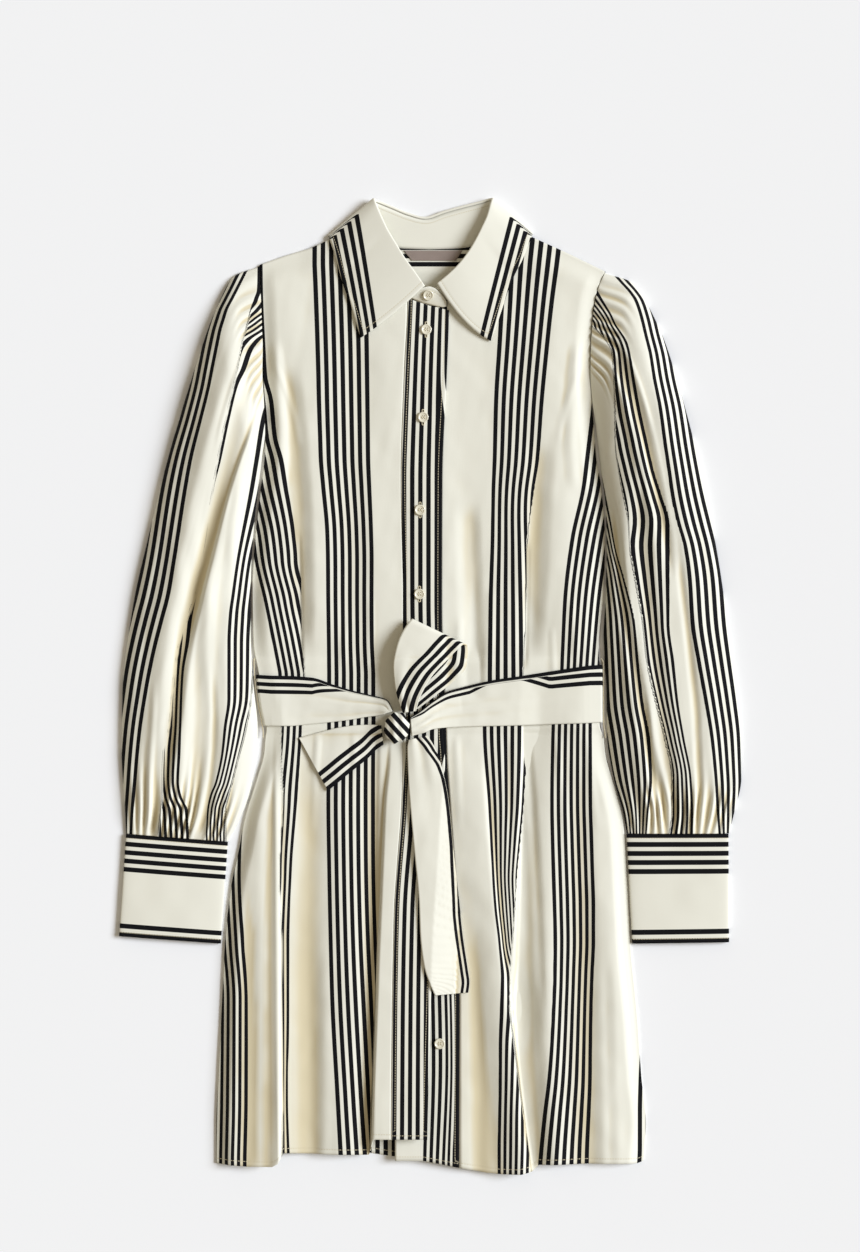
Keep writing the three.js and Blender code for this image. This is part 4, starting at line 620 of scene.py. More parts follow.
def back_z(x, y):
    """Flat back, lifted over the belt and over the back of the collar."""
    low, high, ramp = BELT_BACK
    over_belt = smooth((y - low + ramp) / ramp) * smooth((high + ramp - y) / ramp)
    start, end, reach, side = COLLAR_BACK
    over_collar = smooth((y - start) / (end - start)) * smooth((reach - np.abs(x)) / side)
    return HALF + LAYER * np.maximum(over_belt, over_collar)


def crumple(x, y):
    """Fine wrinkles of pressed cotton: long soft ones with smaller ones over them."""
    long_ones = rumple(x + 0.06 * y, y, 24, 150, 3) * 0.75
    short_ones = rumple(x - 0.2 * y, y, 9, 40, 5) * 0.16
    slant = rumple(x + 0.8 * y, y - 0.5 * x, 16, 46, 8) * 0.22
    return long_ones + short_ones + slant


def front_z(x, y):
    """Front over the back: edges down, a rise inwards, the folds and the fine wrinkles."""
    edge = np.minimum(x - left_side(y), right_side(y) - x)
    rise = smooth(edge / EDGE_RISE)
    below = np.where(np.abs(x) > 82, smooth((shoulder(x) - y) / 24), smooth(0.5 + (458 - y) / 24))
    armhole = ARMHOLE_LIFT * smooth((y - 270) / 30) * (1 - rise) * below
    inside = smooth((edge - 3) / 20) * smooth((shoulder(x) - y) / 40)
    folds = fold_heights(FRONT_FOLDS, x, y)
    fine = (fold_heights(FINE_FOLDS, x, y) + crumple(x, y)) * inside
    return back_z(x, y) + LAYER + np.maximum(fullness(y) + folds, 0.2) * rise * below + armhole + fine


def right_z(x, y):
    """Wearer's right front, which climbs to the placket sewn to its edge."""
    climb = LAYER * smooth((x - placket_left(y) + 45) / 45)
    lifted = fold_lift(y) * smooth((x - fold_line(y) + 2) / 4)
    return front_z(x, y) + climb + lifted


def placket_z(x, y):
    """Placket: a layer over the front, lifted where the opening is folded."""
    return front_z(x, y) + LAYER + fold_lift(y)


def top_z(x, y):
    """Topmost cloth of the body."""
    z = np.where(x < placket_right(y), placket_z(x, y), front_z(x, y))
    return np.where(x < placket_left(y), right_z(x, y), z)


def cover_z(x, y, reach, slope=DRAPE_SLOPE):
    """Cloth drawn over the body: it falls away from high places no steeper than it drapes."""
    high = np.zeros(np.broadcast(x, y).shape)
    for dx in np.arange(-reach, reach + 0.01, COVER_STEP):
        for dy in (-COVER_STEP, 0, COVER_STEP):
            high = np.maximum(high, top_z(x + dx, y + dy) - slope * abs(dx))
    return high


def stripe_place(tab, x, y, before=1.0, after=1.0):
    """Measure across the cloth: straight steps between the landmark lines at each height."""
    down = LAYOUT_DOWN - y
    across = x + LAYOUT_ACROSS
    count = (len(tab["columns"]) - 1) // 2
    lines = [along(tab, f"x{k}")(down) for k in range(count)]
    measures = [along(tab, f"u{k}")(down) for k in range(count)]
    place = measures[0] + np.minimum(across - lines[0], 0) * before
    for k in range(count - 1):
        width = np.maximum(lines[k + 1] - lines[k], 0.05)
        place = place + (measures[k + 1] - measures[k]) * np.clip((across - lines[k]) / width, 0, 1)
    return place + np.maximum(across - lines[-1], 0) * after


def folded_away(place, grid, around):
    """1 where the cloth is tucked into a fold: its measure runs far faster than the place across."""
    if around:
        run = np.abs(np.roll(place, -1, 1) - np.roll(place, 1, 1))
        width = np.linalg.norm(np.roll(grid, -1, 1) - np.roll(grid, 1, 1), axis=2)
    else:
        run = np.abs(np.gradient(place, axis=1))
        width = np.linalg.norm(np.gradient(grid, axis=1), axis=2)
    return smooth((run / np.maximum(width, 0.05) - FOLDED_RATE) / 5)


def painted_shade_depth(grid, around):
    """0 to 1 by how far a point lies below the mean of its row near it, faded out near the floor: the mask of
    the painted shade in valleys and creases.
    """
    z = grid[..., 2]
    total = np.zeros(z.shape)
    for reach, depth in ((4, 0.8), (10, 2.2), (18, 4)):
        if around:
            padded = np.concatenate([z[:, -reach:], z, z[:, :reach]], 1)
        else:
            padded = np.pad(z, [(0, 0), (reach, reach)], mode="edge")
        sums = np.cumsum(np.pad(padded, [(0, 0), (1, 0)]), axis=1)
        mean = (sums[:, 2 * reach + 1:] - sums[:, : z.shape[1]]) / (2 * reach + 1)
        total = np.maximum(total, smooth((mean - z) / depth))
    return total * smooth((z - 3.5) / 3)


def grid_normals(grid, around):
    """Unit normals: the cross product of the steps across and along the grid."""
    down = np.gradient(grid, axis=0)
    if around:
        across = np.roll(grid, -1, 1) - np.roll(grid, 1, 1)
    else:
        across = np.gradient(grid, axis=1)
    normals = np.cross(across, down)
    return normals / np.maximum(np.linalg.norm(normals, axis=2, keepdims=True), 1e-9)


def wall_mesh(name, grid, thick, place, seam, around=False):
    """Wall of cloth: the grid moved half its thickness out and in, closed round its edges."""
    rows, columns = grid.shape[:2]
    place = np.broadcast_to(place, (rows, columns, 2))
    normals = grid_normals(grid, around)
    if around:
        centre = grid.mean(axis=1, keepdims=True)
        if (normals * (grid - centre)).sum() < 0:
            grid, place, seam = grid[:, ::-1], place[:, ::-1], seam[:, ::-1]
            normals = grid_normals(grid, around)
        outer = grid
    else:
        outer = grid + normals * thick / 2
    inner = outer - normals * thick
    points = np.concatenate([outer.reshape(-1, 3), inner.reshape(-1, 3)]) * MM
    points[:, 2] = np.maximum(points[:, 2], 0)
    index = np.arange(rows * columns).reshape(rows, columns)
    under = rows * columns
    left = index if around else index[:, :-1]
    right = np.roll(index, -1, 1) if around else index[:, 1:]
    top = np.stack([left[:-1], right[:-1], right[1:], left[1:]], -1).reshape(-1, 4)
    rims = [np.stack([right[0], left[0]], -1), np.stack([left[-1], right[-1]], -1)]
    if not around:
        rims.append(np.stack([index[:-1, 0], index[1:, 0]], -1))
        rims.append(np.stack([index[1:, -1], index[:-1, -1]], -1))
    rim = np.concatenate(rims)
    rim = np.concatenate([rim, rim[:, ::-1] + under], 1)
    faces = np.concatenate([top, top[:, ::-1] + under, rim])
    uv = np.tile(place.reshape(-1, 2), (2, 1))
    stitch = np.tile(seam.reshape(-1, 2), (2, 1))
    # Map of the tucked cloth and of the painted shade in the valleys.
    form = packed(folded_away(place[..., 0], grid, around), painted_shade_depth(grid, around))
    form = np.tile(form.reshape(-1, 2), (2, 1))
    return mesh_object(name, points, faces, {"cloth": uv, "seam": stitch, "form": form})


def mesh_object(name, points, faces, maps):
    """Mesh of quads with its maps, and an object that holds it at the origin."""
    mesh = bpy.data.meshes.new(name)
    mesh.vertices.add(len(points))
    mesh.vertices.foreach_set("co", points.astype(np.float32).ravel())
    mesh.loops.add(faces.size)
    mesh.loops.foreach_set("vertex_index", faces.astype(np.int32).ravel())
    mesh.polygons.add(len(faces))
    mesh.polygons.foreach_set("loop_start", np.arange(0, faces.size, 4, dtype=np.int32))
    mesh.polygons.foreach_set("use_smooth", np.ones(len(faces), bool))
    mesh.update(calc_edges=True)
    for title, values in maps.items():
        layer = mesh.uv_layers.new(name=title)
        layer.data.foreach_set("uv", values[faces.ravel()].astype(np.float32).ravel())
    obj = bpy.data.objects.new(name, mesh)
    bpy.context.scene.collection.objects.link(obj)
    return obj


def wired(tree, socket, value):
    """Input linked to a socket, or set to a number or a colour."""
    if isinstance(value, bpy.types.NodeSocket):
        tree.links.new(value, socket)
    else:
        socket.default_value = value


def math_node(tree, operation, first, second=None):
    """Math node whose inputs are sockets or numbers; gives its output socket."""
    node = tree.nodes.new("ShaderNodeMath")
    node.operation = operation
    wired(tree, node.inputs[0], first)
    if second is not None:
        wired(tree, node.inputs[1], second)
    return node.outputs[0]


def step_node(tree, value, low, high):
    """Smooth step from 1 below low to 0 above high."""
    node = tree.nodes.new("ShaderNodeMapRange")
    node.interpolation_type = "SMOOTHSTEP"
    node.clamp = True
    for socket, item in zip(node.inputs, (value, low, high, 1, 0)):
        wired(tree, socket, item)
    return node.outputs[0]


def colour_mix(tree, share, first, second, blend="MIX"):
    """Mix of two colours by a share, each a socket or a value; gives its output socket."""
    node = tree.nodes.new("ShaderNodeMix")
    node.data_type = "RGBA"
    node.blend_type = blend
    for index, item in ((0, share), (6, first), (7, second)):
        wired(tree, node.inputs[index], item)
    return node.outputs[2]


def noise_node(tree, scale, detail, places):
    """Soft noise at the given places; gives its output socket."""
    node = tree.nodes.new("ShaderNodeTexNoise")
    node.inputs["Scale"].default_value = scale
    node.inputs["Detail"].default_value = detail
    tree.links.new(places, node.inputs["Vector"])
    return node.outputs[0]


def set_surface(tree, colour, height, strength, distance, values):
    """Colour, bump and named values of a material's shader."""
    shader = tree.nodes["Principled BSDF"]
    bump = tree.nodes.new("ShaderNodeBump")
    bump.inputs["Strength"].default_value = strength
    bump.inputs["Distance"].default_value = distance
    tree.links.new(height, bump.inputs["Height"])
    tree.links.new(bump.outputs[0], shader.inputs["Normal"])
    tree.links.new(colour, shader.inputs["Base Color"])
    for title, value in values.items():
        shader.inputs[title].default_value = value


def new_group(name, inputs, outputs):
    """Shader node group with float or colour sockets."""
    tree = bpy.data.node_groups.new(name, "ShaderNodeTree")
    for title, default in inputs:
        kind = "NodeSocketColor" if isinstance(default, tuple) else "NodeSocketFloat"
        socket = tree.interface.new_socket(name=title, in_out="INPUT", socket_type=kind)
        socket.default_value = default
    for title, kind in outputs:
        tree.interface.new_socket(name=title, in_out="OUTPUT", socket_type=kind)
    source = tree.nodes.new("NodeGroupInput")
    sink = tree.nodes.new("NodeGroupOutput")
    return tree, source, sink


def stripe_group(settings):
    """Woven stripes: groups of narrow dark stripes, repeated across the cloth, over a ground with random tone
    and painted shade in its valleys.
    """
    tree, source, sink = new_group(
        "woven_stripes",
        [("Place", 0.0), ("Ground", (0.8, 0.8, 0.7, 1)), ("Stripe", (0.01, 0.01, 0.012, 1)),
         ("Tone", 0.5), ("Folded", 0.0), ("Valley", 0.0)],
        [("Color", "NodeSocketColor")],
    )
    width, pitch, repeat = settings.stripe_width, settings.stripe_pitch, settings.stripe_repeat
    place = source.outputs["Place"]
    in_repeat = math_node(tree, "FLOORED_MODULO", math_node(tree, "ADD", place, pitch / 4), repeat)
    in_group = step_node(tree, in_repeat, GROUP_END + pitch / 4 + 0.6, GROUP_END + pitch / 4 + 0.9)
    shifted = math_node(tree, "ADD", place, pitch / 2 - STRIPE_CENTRE)
    reset = math_node(tree, "FLOORED_MODULO", shifted, repeat)
    in_pitch = math_node(tree, "FLOORED_MODULO", reset, pitch)
    away = math_node(tree, "ABSOLUTE", math_node(tree, "SUBTRACT", in_pitch, pitch / 2))
    in_stripe = step_node(tree, away, width / 2 - STRIPE_BLUR, width / 2 + STRIPE_BLUR)
    shown = math_node(tree, "SUBTRACT", 1.0, source.outputs["Folded"])
    mask = math_node(tree, "MULTIPLY", math_node(tree, "MULTIPLY", in_stripe, in_group), shown)
    tint = tree.nodes.new("ShaderNodeMapRange")
    tree.links.new(source.outputs["Tone"], tint.inputs[0])
    tint.inputs[3].default_value = 0.93
    tint.inputs[4].default_value = 1.04
    grey = tree.nodes.new("ShaderNodeCombineColor")
    for socket in grey.inputs[:3]:
        tree.links.new(tint.outputs[0], socket)
    toned = colour_mix(tree, 1, source.outputs["Ground"], grey.outputs[0], "MULTIPLY")
    # Painted shade: the ground darkened and warmed by the valley mask, where the folds fall into shade.
    painted_shade_ground = colour_mix(tree, source.outputs["Valley"], toned, PAINTED_VALLEY_SHADE, "MULTIPLY")
    tree.links.new(colour_mix(tree, mask, painted_shade_ground, source.outputs["Stripe"]), sink.inputs[0])
    return tree


def weave_group():
    """Plain weave: crossed sines of the two thread directions, with slubs in them."""
    tree, source, sink = new_group(
        "plain_weave", [("Across", 0.0), ("Up", 0.0), ("Pitch", 0.5)], [("Height", "NodeSocketFloat")]
    )
    across = math_node(tree, "DIVIDE", source.outputs["Across"], source.outputs["Pitch"])
    up = math_node(tree, "DIVIDE", source.outputs["Up"], source.outputs["Pitch"])
    warp = math_node(tree, "SINE", math_node(tree, "MULTIPLY", across, math.pi))
    weft = math_node(tree, "SINE", math_node(tree, "MULTIPLY", up, math.pi))
    product = math_node(tree, "MULTIPLY", warp, weft)
    vector = tree.nodes.new("ShaderNodeCombineXYZ")
    tree.links.new(math_node(tree, "MULTIPLY", across, 0.35), vector.inputs[0])
    tree.links.new(math_node(tree, "MULTIPLY", up, 0.035), vector.inputs[1])
    slub = noise_node(tree, 1, 2, vector.outputs[0])
    total = math_node(tree, "ADD", math_node(tree, "MULTIPLY", product, 0.5), slub)
    tree.links.new(total, sink.inputs[0])
    return tree


def stitch_group():
    """Row of stitches: dashes at a set distance from the edge, on a slightly pressed line."""
    tree, source, sink = new_group(
        "stitch_row",
        [("Run", 0.0), ("Distance", 50.0), ("Offset", 5.0), ("Length", 2.6)],
        [("Thread", "NodeSocketFloat"), ("Pressed", "NodeSocketFloat")],
    )
    beyond = math_node(tree, "SUBTRACT", source.outputs["Distance"], source.outputs["Offset"])
    away = math_node(tree, "ABSOLUTE", beyond)
    line = step_node(tree, away, 0.22, 0.42)
    count = math_node(tree, "DIVIDE", source.outputs["Run"], source.outputs["Length"])
    share = math_node(tree, "FLOORED_MODULO", count, 1.0)
    dash = step_node(tree, math_node(tree, "ABSOLUTE", math_node(tree, "SUBTRACT", share, 0.5)), 0.3, 0.38)
    tree.links.new(math_node(tree, "MULTIPLY", line, dash), sink.inputs[0])
    tree.links.new(step_node(tree, away, 0.3, 1.6), sink.inputs[1])
    return tree


def group_node(tree, group, **links):
    """Group placed in a material, with sockets or values for its inputs."""
    node = tree.nodes.new("ShaderNodeGroup")
    node.node_tree = group
    for title, value in links.items():
        wired(tree, node.inputs[title], value)
    return node


def uv_parts(tree, name):
    """Both measures of a map, as two sockets."""
    node = tree.nodes.new("ShaderNodeUVMap")
    node.uv_map = name
    parts = tree.nodes.new("ShaderNodeSeparateXYZ")
    tree.links.new(node.outputs[0], parts.inputs[0])
    return parts.outputs[0], parts.outputs[1]


def cotton(name, settings, groups, stitch=HEM_STITCH):
    """Striped poplin: woven stripes, weave and slub bump, stitches, slight mottling and painted shade in the
    valleys.
    """
    material = bpy.data.materials.new(name)
    material.use_nodes = True
    tree = material.node_tree
    across, up = uv_parts(tree, "cloth")
    run, distance = uv_parts(tree, "seam")
    # The form map holds the tucked mask and the mask of the painted shade in the valleys.
    folded, valley = uv_parts(tree, "form")
    where = tree.nodes.new("ShaderNodeTexCoord")
    mottle = noise_node(tree, 14, 3, where.outputs["Object"])
    stripes = group_node(
        tree, groups["stripes"], Place=across, Ground=(*settings.cream, 1), Stripe=(*settings.ink, 1),
        Tone=mottle, Folded=folded, Valley=valley,
    )
    sewn = group_node(
        tree, groups["stitch"], Run=run, Distance=distance, Offset=float(stitch),
        Length=settings.stitch_length,
    )
    covered = math_node(tree, "MULTIPLY", sewn.outputs[0], 0.75)
    colour = colour_mix(tree, covered, stripes.outputs[0], (*settings.thread, 1))
    weave = group_node(tree, groups["weave"], Across=across, Up=up, Pitch=settings.weave_pitch)
    raised = math_node(tree, "MULTIPLY", weave.outputs[0], 0.25)
    pressed = math_node(tree, "MULTIPLY", sewn.outputs[1], 0.8)
    height = math_node(tree, "SUBTRACT", raised, pressed)
    height = math_node(tree, "ADD", height, math_node(tree, "MULTIPLY", sewn.outputs[0], 0.9))
    values = {"Roughness": 0.82, "Specular IOR Level": 0.15, "Sheen Weight": 0.03, "Sheen Roughness": 0.5}
    set_surface(tree, colour, height, 0.55, 0.00025, values)


def plain_finish(name, colour, roughness, scale, strength, distance, sheen=0.0, coat=0.0):
    """Plain finish with a fine noise in its colour and its bump."""
    material = bpy.data.materials.new(name)
    material.use_nodes = True
    tree = material.node_tree
    where = tree.nodes.new("ShaderNodeTexCoord")
    noise = noise_node(tree, scale, 4, where.outputs["Object"])
    darker = (*[part * 0.88 for part in colour], 1)
    lighter = (*[min(1, part * 1.08) for part in colour], 1)
    values = {"Roughness": roughness, "Sheen Weight": sheen, "Coat Weight": coat}
    set_surface(tree, colour_mix(tree, noise, darker, lighter), noise, strength, distance, values)


def floor_finish():
    """Pale paper that looks the same all over."""
    material = bpy.data.materials.new("floor_paper")
    material.use_nodes = True
    shader = material.node_tree.nodes["Principled BSDF"]
    shader.inputs["Base Color"].default_value = (0.9, 0.9, 0.905, 1)
    shader.inputs["Roughness"].default_value = 1
    shader.inputs["Specular IOR Level"].default_value = 0
    return material


def finish_of(name):
    """Material by name, made with all the others on first use."""
    if "sewing_thread" not in bpy.data.materials:
        settings = bpy.context.scene.shirt_dress
        groups = {"stripes": stripe_group(settings), "weave": weave_group(), "stitch": stitch_group()}
        cotton("poplin", settings, groups)
        cotton("poplin_doubled", settings, groups, stitch=4)
        cotton("poplin_belt", settings, groups, stitch=NO_STITCH)
        plain_finish("sewing_thread", settings.thread, 0.7, 900, 0.5, 0.0002, sheen=0.2)
        plain_finish("woven_tape", settings.label, 0.65, 1500, 0.5, 0.0002, sheen=0.3)
        plain_finish("polished_resin", settings.button, 0.28, 160, 0.05, 0.0001, coat=0.4)
    return bpy.data.materials[name]


def as_part(obj, material, slot, *nodes):
    """Material, body and replaced nodes of a piece. Its slot is not used."""
    obj.data.materials.append(finish_of(material))
    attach(obj, "root")
    if nodes:
        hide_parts(*nodes)


def as_cloth(obj, material, slot, flat, held, *nodes, area=None, rests_on=()):
    """Piece of cloth: its material, body and node. Its flat size in millimetres is not used."""
    as_part(obj, material, slot, *nodes)


def no_seam(grid):
    """Seam map without a seam: far from every edge."""
    return packed(np.zeros(grid.shape[:2]), FAR)


def guided(guides):
    """Places across through guide lines: pairs of line number and share, in even steps."""
    numbers, shares = [], []
    for k, (_, steps) in enumerate(guides[:-1]):
        numbers.append(np.full(steps, k))
        shares.append(np.arange(steps) / steps)
    numbers.append([len(guides) - 1])
    shares.append([0])
    return np.concatenate(numbers).astype(int), np.concatenate(shares)


def front_grid(guides, top, hem, counts):
    """Places x and y of a front: columns follow the guides, rows blend into the top and the hem."""
    numbers, shares = guided(guides)
    following = np.minimum(numbers + 1, len(guides) - 1)

    def x_at(y):
        """Place across at a height: a share of the way from a guide to the next."""
        lines = np.stack([np.broadcast_to(line(y), y.shape) for line, _ in guides])
        here = np.take_along_axis(lines, numbers.reshape(1, 1, -1), 0)[0]
        there = np.take_along_axis(lines, following.reshape(1, 1, -1), 0)[0]
        return mix(here, there, shares)

    start = np.full((1, len(numbers)), float(TOP_BLOCK + 90))
    for _ in range(12):
        start = top(x_at(start))
    end = hem(x_at(np.full((1, len(numbers)), -470.0)))
    upper, middle, lower = counts
    ease = np.linspace(0, 1, upper, endpoint=False)[:, None] ** 1.2
    blocks = [
        mix(start, TOP_BLOCK, ease),
        np.repeat(np.linspace(TOP_BLOCK, HEM_BLOCK, middle, endpoint=False)[:, None], len(numbers), 1),
        mix(HEM_BLOCK, end, np.linspace(0, 1, lower)[:, None]),
    ]
    y = np.concatenate(blocks)
    return x_at(y), y


def hem_seam(x, y, hem):
    """Seam map of a hem: the place along it and the height over it."""
    return packed(x, y - hem(x))


def build_front(node, guides, top, hem, stripes, height, flat):
    """Front between its guides, at its height, with its own stripes over and under the waist."""
    x, y = front_grid(guides, outline(top), outline(hem), (26, 230, 26))
    bodice, skirt = stripes
    place = np.where(y > WAIST, stripe_place(bodice, x, y), stripe_place(skirt, x, y))
    grid = packed(x, y, height(x, y))
    obj = wall_mesh(f"{node}_cloth", grid, SINGLE, packed(place, y), hem_seam(x, y, outline(hem)))
    as_cloth(obj, "poplin", "striped_cotton", flat, "laid", node, area=FRONT_AREA)


def build_front_right():
    """Wearer's right front, from its side to the placket, with close columns at its dart."""
    dart = along(GUIDES_RIGHT, "dart")

    def side_dart(y):
        """Dart, kept off the rise of the edge."""
        return np.maximum(dart(y), left_side(y) + EDGE_RISE + 6)

    guides = [
        (left_side, 14), (lambda y: left_side(y) + EDGE_RISE, 8), (side_dart, 6),
        (lambda y: side_dart(y) + 7, 28), (along(GUIDES_RIGHT, "neck_point"), 26),
        (lambda y: fold_line(y) - 3, 6), (lambda y: fold_line(y) + 3, 10), (placket_left, 0),
    ]
    stripes = (STRIPES_BODICE_RIGHT, STRIPES_SKIRT_RIGHT)
    build_front("front_right", guides, FRONT_TOP, HEM_RIGHT, stripes, right_z, (200, 940))


def build_front_left():
    """Wearer's left front, from the band's seam to its side, with close columns at its fold."""
    fold = along(GUIDES_LEFT, "fold")
    guides = [
        (lambda y: band_seam(y) + 0.1, 18), (fold, 5), (lambda y: fold(y) + 7, 26),
        (along(GUIDES_LEFT, "neck_point"), 34), (lambda y: right_side(y) - EDGE_RISE, 14), (right_side, 0),
    ]
    stripes = (STRIPES_BODICE_LEFT, STRIPES_SKIRT_LEFT)
    build_front("front_left", guides, FRONT_TOP_LEFT, HEM_LEFT, stripes, front_z, (200, 945))


def build_button_band():
    """Band of the wearer's left front, which goes in under the placket."""
    guides = [(lambda y: placket_left(y) + 4, 30), (band_seam, 0)]
    x, y = front_grid(guides, outline(FRONT_TOP_LEFT), outline(HEM_LEFT), (14, 150, 16))
    place = stripe_place(STRIPES_BAND, x, y)
    side = packed(y, np.minimum(band_seam(y) - x, FAR))
    hem = hem_seam(x, y, outline(HEM_LEFT))
    seam = np.where(hem[..., 1:] < HEM_TURN, hem, side)
    obj = wall_mesh("button_band_cloth", packed(x, y, front_z(x, y)), DOUBLE, packed(place, y), seam)
    as_cloth(obj, "poplin_doubled", "striped_cotton", (48, 860), "laid", "button_band")


def build_placket():
    """Placket over the band, stitched along both sides and over its hem."""
    guides = [(lambda y: placket_left(y) + 0.15, 30), (placket_right, 0)]
    neck = outline(FRONT_TOP)
    x, y = front_grid(
        guides, lambda x: neck(x) - PLACKET_DROP, lambda x: np.full(x.shape, PLACKET_HEM), (14, 200, 20)
    )
    place = stripe_place(STRIPES_PLACKET, x, y)
    sides = packed(y, np.minimum(x - placket_left(y), placket_right(y) - x))
    at_hem = (y < PLACKET_HEM + HEM_TURN)[..., None]
    seam = np.where(at_hem, packed(x, y - PLACKET_HEM), sides)
    obj = wall_mesh("placket_cloth", packed(x, y, placket_z(x, y)), DOUBLE, packed(place, y), seam)
    as_cloth(obj, "poplin_doubled", "striped_cotton", (41, 835), "laid", "placket")


def build_back():
    """Back panel: a flat sheet, lifted over the belt, whose last rows bend into the hem."""
    levels = np.concatenate([
        np.linspace(YOKE_SEAM - 0.1, 30, 60), np.linspace(29, 23, 8), np.linspace(20, -40, 14),
        np.linspace(-42, -48, 8), np.linspace(-53, -440, 70),
    ])
    share = np.linspace(0, 1, 60)
    y = np.repeat(levels[:, None], len(share), 1)
    x = mix(left_side(y), right_side(y), share)
    hem = outline(HEM_BACK)
    low_x = mix(left_side(-440), right_side(-440), share)
    end_x = mix(left_side(-478), right_side(-478), share)
    for part in np.linspace(0.25, 1, 6):
        y = np.concatenate([y, mix(-440, hem(end_x), part)[None]])
        x = np.concatenate([x, mix(low_x, end_x, part)[None]])
    place = packed(np.abs(x) - 26, y)
    obj = wall_mesh("back_panel_cloth", packed(x, y, back_z(x, y)), DOUBLE, place, hem_seam(x, y, hem))
    as_cloth(obj, "poplin", "striped_cotton", (430, 832), "laid", "back_panel", area=320000)


def build_yoke():
    """Yoke up to the neck and shoulders: level stripes, and a dark line along one shoulder."""
    top = outline(BACK_TOP)
    top_x = np.unique(np.concatenate([column(BACK_TOP, "x"), np.linspace(-170, 176, 120)]))
    start = top(top_x)
    part = np.linspace(0, 1, 40)[:, None]
    y = mix(start[None], YOKE_SEAM, part)
    shares = (top_x - left_side(start)) / (right_side(start) - left_side(start))
    x = mix(left_side(y), right_side(y), shares[None])
    grid = packed(x, y, back_z(x, y))
    at_shoulder = (part < 0.08) & (x > 100)
    place = np.where(at_shoulder, YOKE_LINE, np.minimum(LAYOUT_DOWN - y - YOKE_START, YOKE_END))
    obj = wall_mesh("back_yoke_cloth", grid, DOUBLE, packed(place, x), no_seam(grid))
    as_cloth(obj, "poplin", "striped_cotton", (346, 102), "laid", "back_yoke", area=29000)


def collar_section(row):
    """Roll, neck seam and edge in space, and the directions up the stand and out of the fall."""
    s = sections(COLLAR, row)
    front = np.clip(1 - s["turn"] / 90, 0, 1)
    seam_back = back_z(s["seam_x"], s["seam_y"])
    on_front = np.where(
        s["seam_x"] < 0, right_z(s["seam_x"], s["seam_y"] - 1), front_z(s["seam_x"], s["seam_y"] - 1)
    )
    seam_z = mix(seam_back, on_front, smooth(front * 2))
    at_shoulder = smooth((50 - np.abs(s["turn"] - 90)) / 25)
    seam_z = mix(seam_z, seam_back + 0.75, at_shoulder)
    roll = np.stack([s["roll_x"], s["roll_y"], s["roll_z"]], -1)
    seam = np.stack([s["seam_x"], s["seam_y"], seam_z], -1)
    up = roll - seam
    up /= np.linalg.norm(up, axis=-1, keepdims=True)
    turn = np.radians(s["turn"])
    sign = np.where(s["roll_x"] < 3, -1.0, 1.0)
    side = np.stack([sign * up[:, 1], -sign * up[:, 0]], -1)
    side /= np.linalg.norm(side, axis=-1, keepdims=True)
    out = np.concatenate([side * np.sin(turn)[:, None], np.cos(turn)[:, None]], 1)
    out /= np.linalg.norm(out, axis=-1, keepdims=True)
    return s, roll, seam, up, out


def build_collar_stand():
    """Stand: its tab, the neck in straight lines from seam to roll, and its end under the tab."""
    rows = []
    shares = np.linspace(0, 1, 12)

    def ends(tab, height):
        """Rows of an end, raised evenly from its seam on the front to its top."""
        count = len(tab["rows"])
        s = sections(tab, np.linspace(0, count - 1, count * 6 - 5)[:, None])
        base = height(s["seam_x"], s["seam_y"])
        x = mix(s["seam_x"], s["top_x"], shares)
        y = mix(s["seam_y"], s["top_y"], shares) + 0.3 * (1 - shares)
        rows.append(packed(x, y, base + s["rise"] * shares))

    ends(STAND_TAB, placket_z)
    _, roll, seam, up, out = collar_section(np.linspace(0, 24, 145))
    top = roll - out * ROLL_RADIUS - up * 1.6
    low = seam + up * 0.6
    rows.append(mix(low[:, None], top[:, None], shares[:, None]))
    ends(STAND_UNDER, front_z)
    grid = np.concatenate(rows)
    run = lengths(grid[:, 0])[:, None]
    height = np.linalg.norm(grid - grid[:, -1:], axis=2)
    obj = wall_mesh("collar_stand_cloth", grid, DOUBLE, packed(PLAIN, run), packed(run, height))
    as_cloth(
        obj, "poplin_doubled", "striped_cotton", (34, 400), "folded", "collar_stand",
        rests_on=["collar_fall_cloth"],
    )


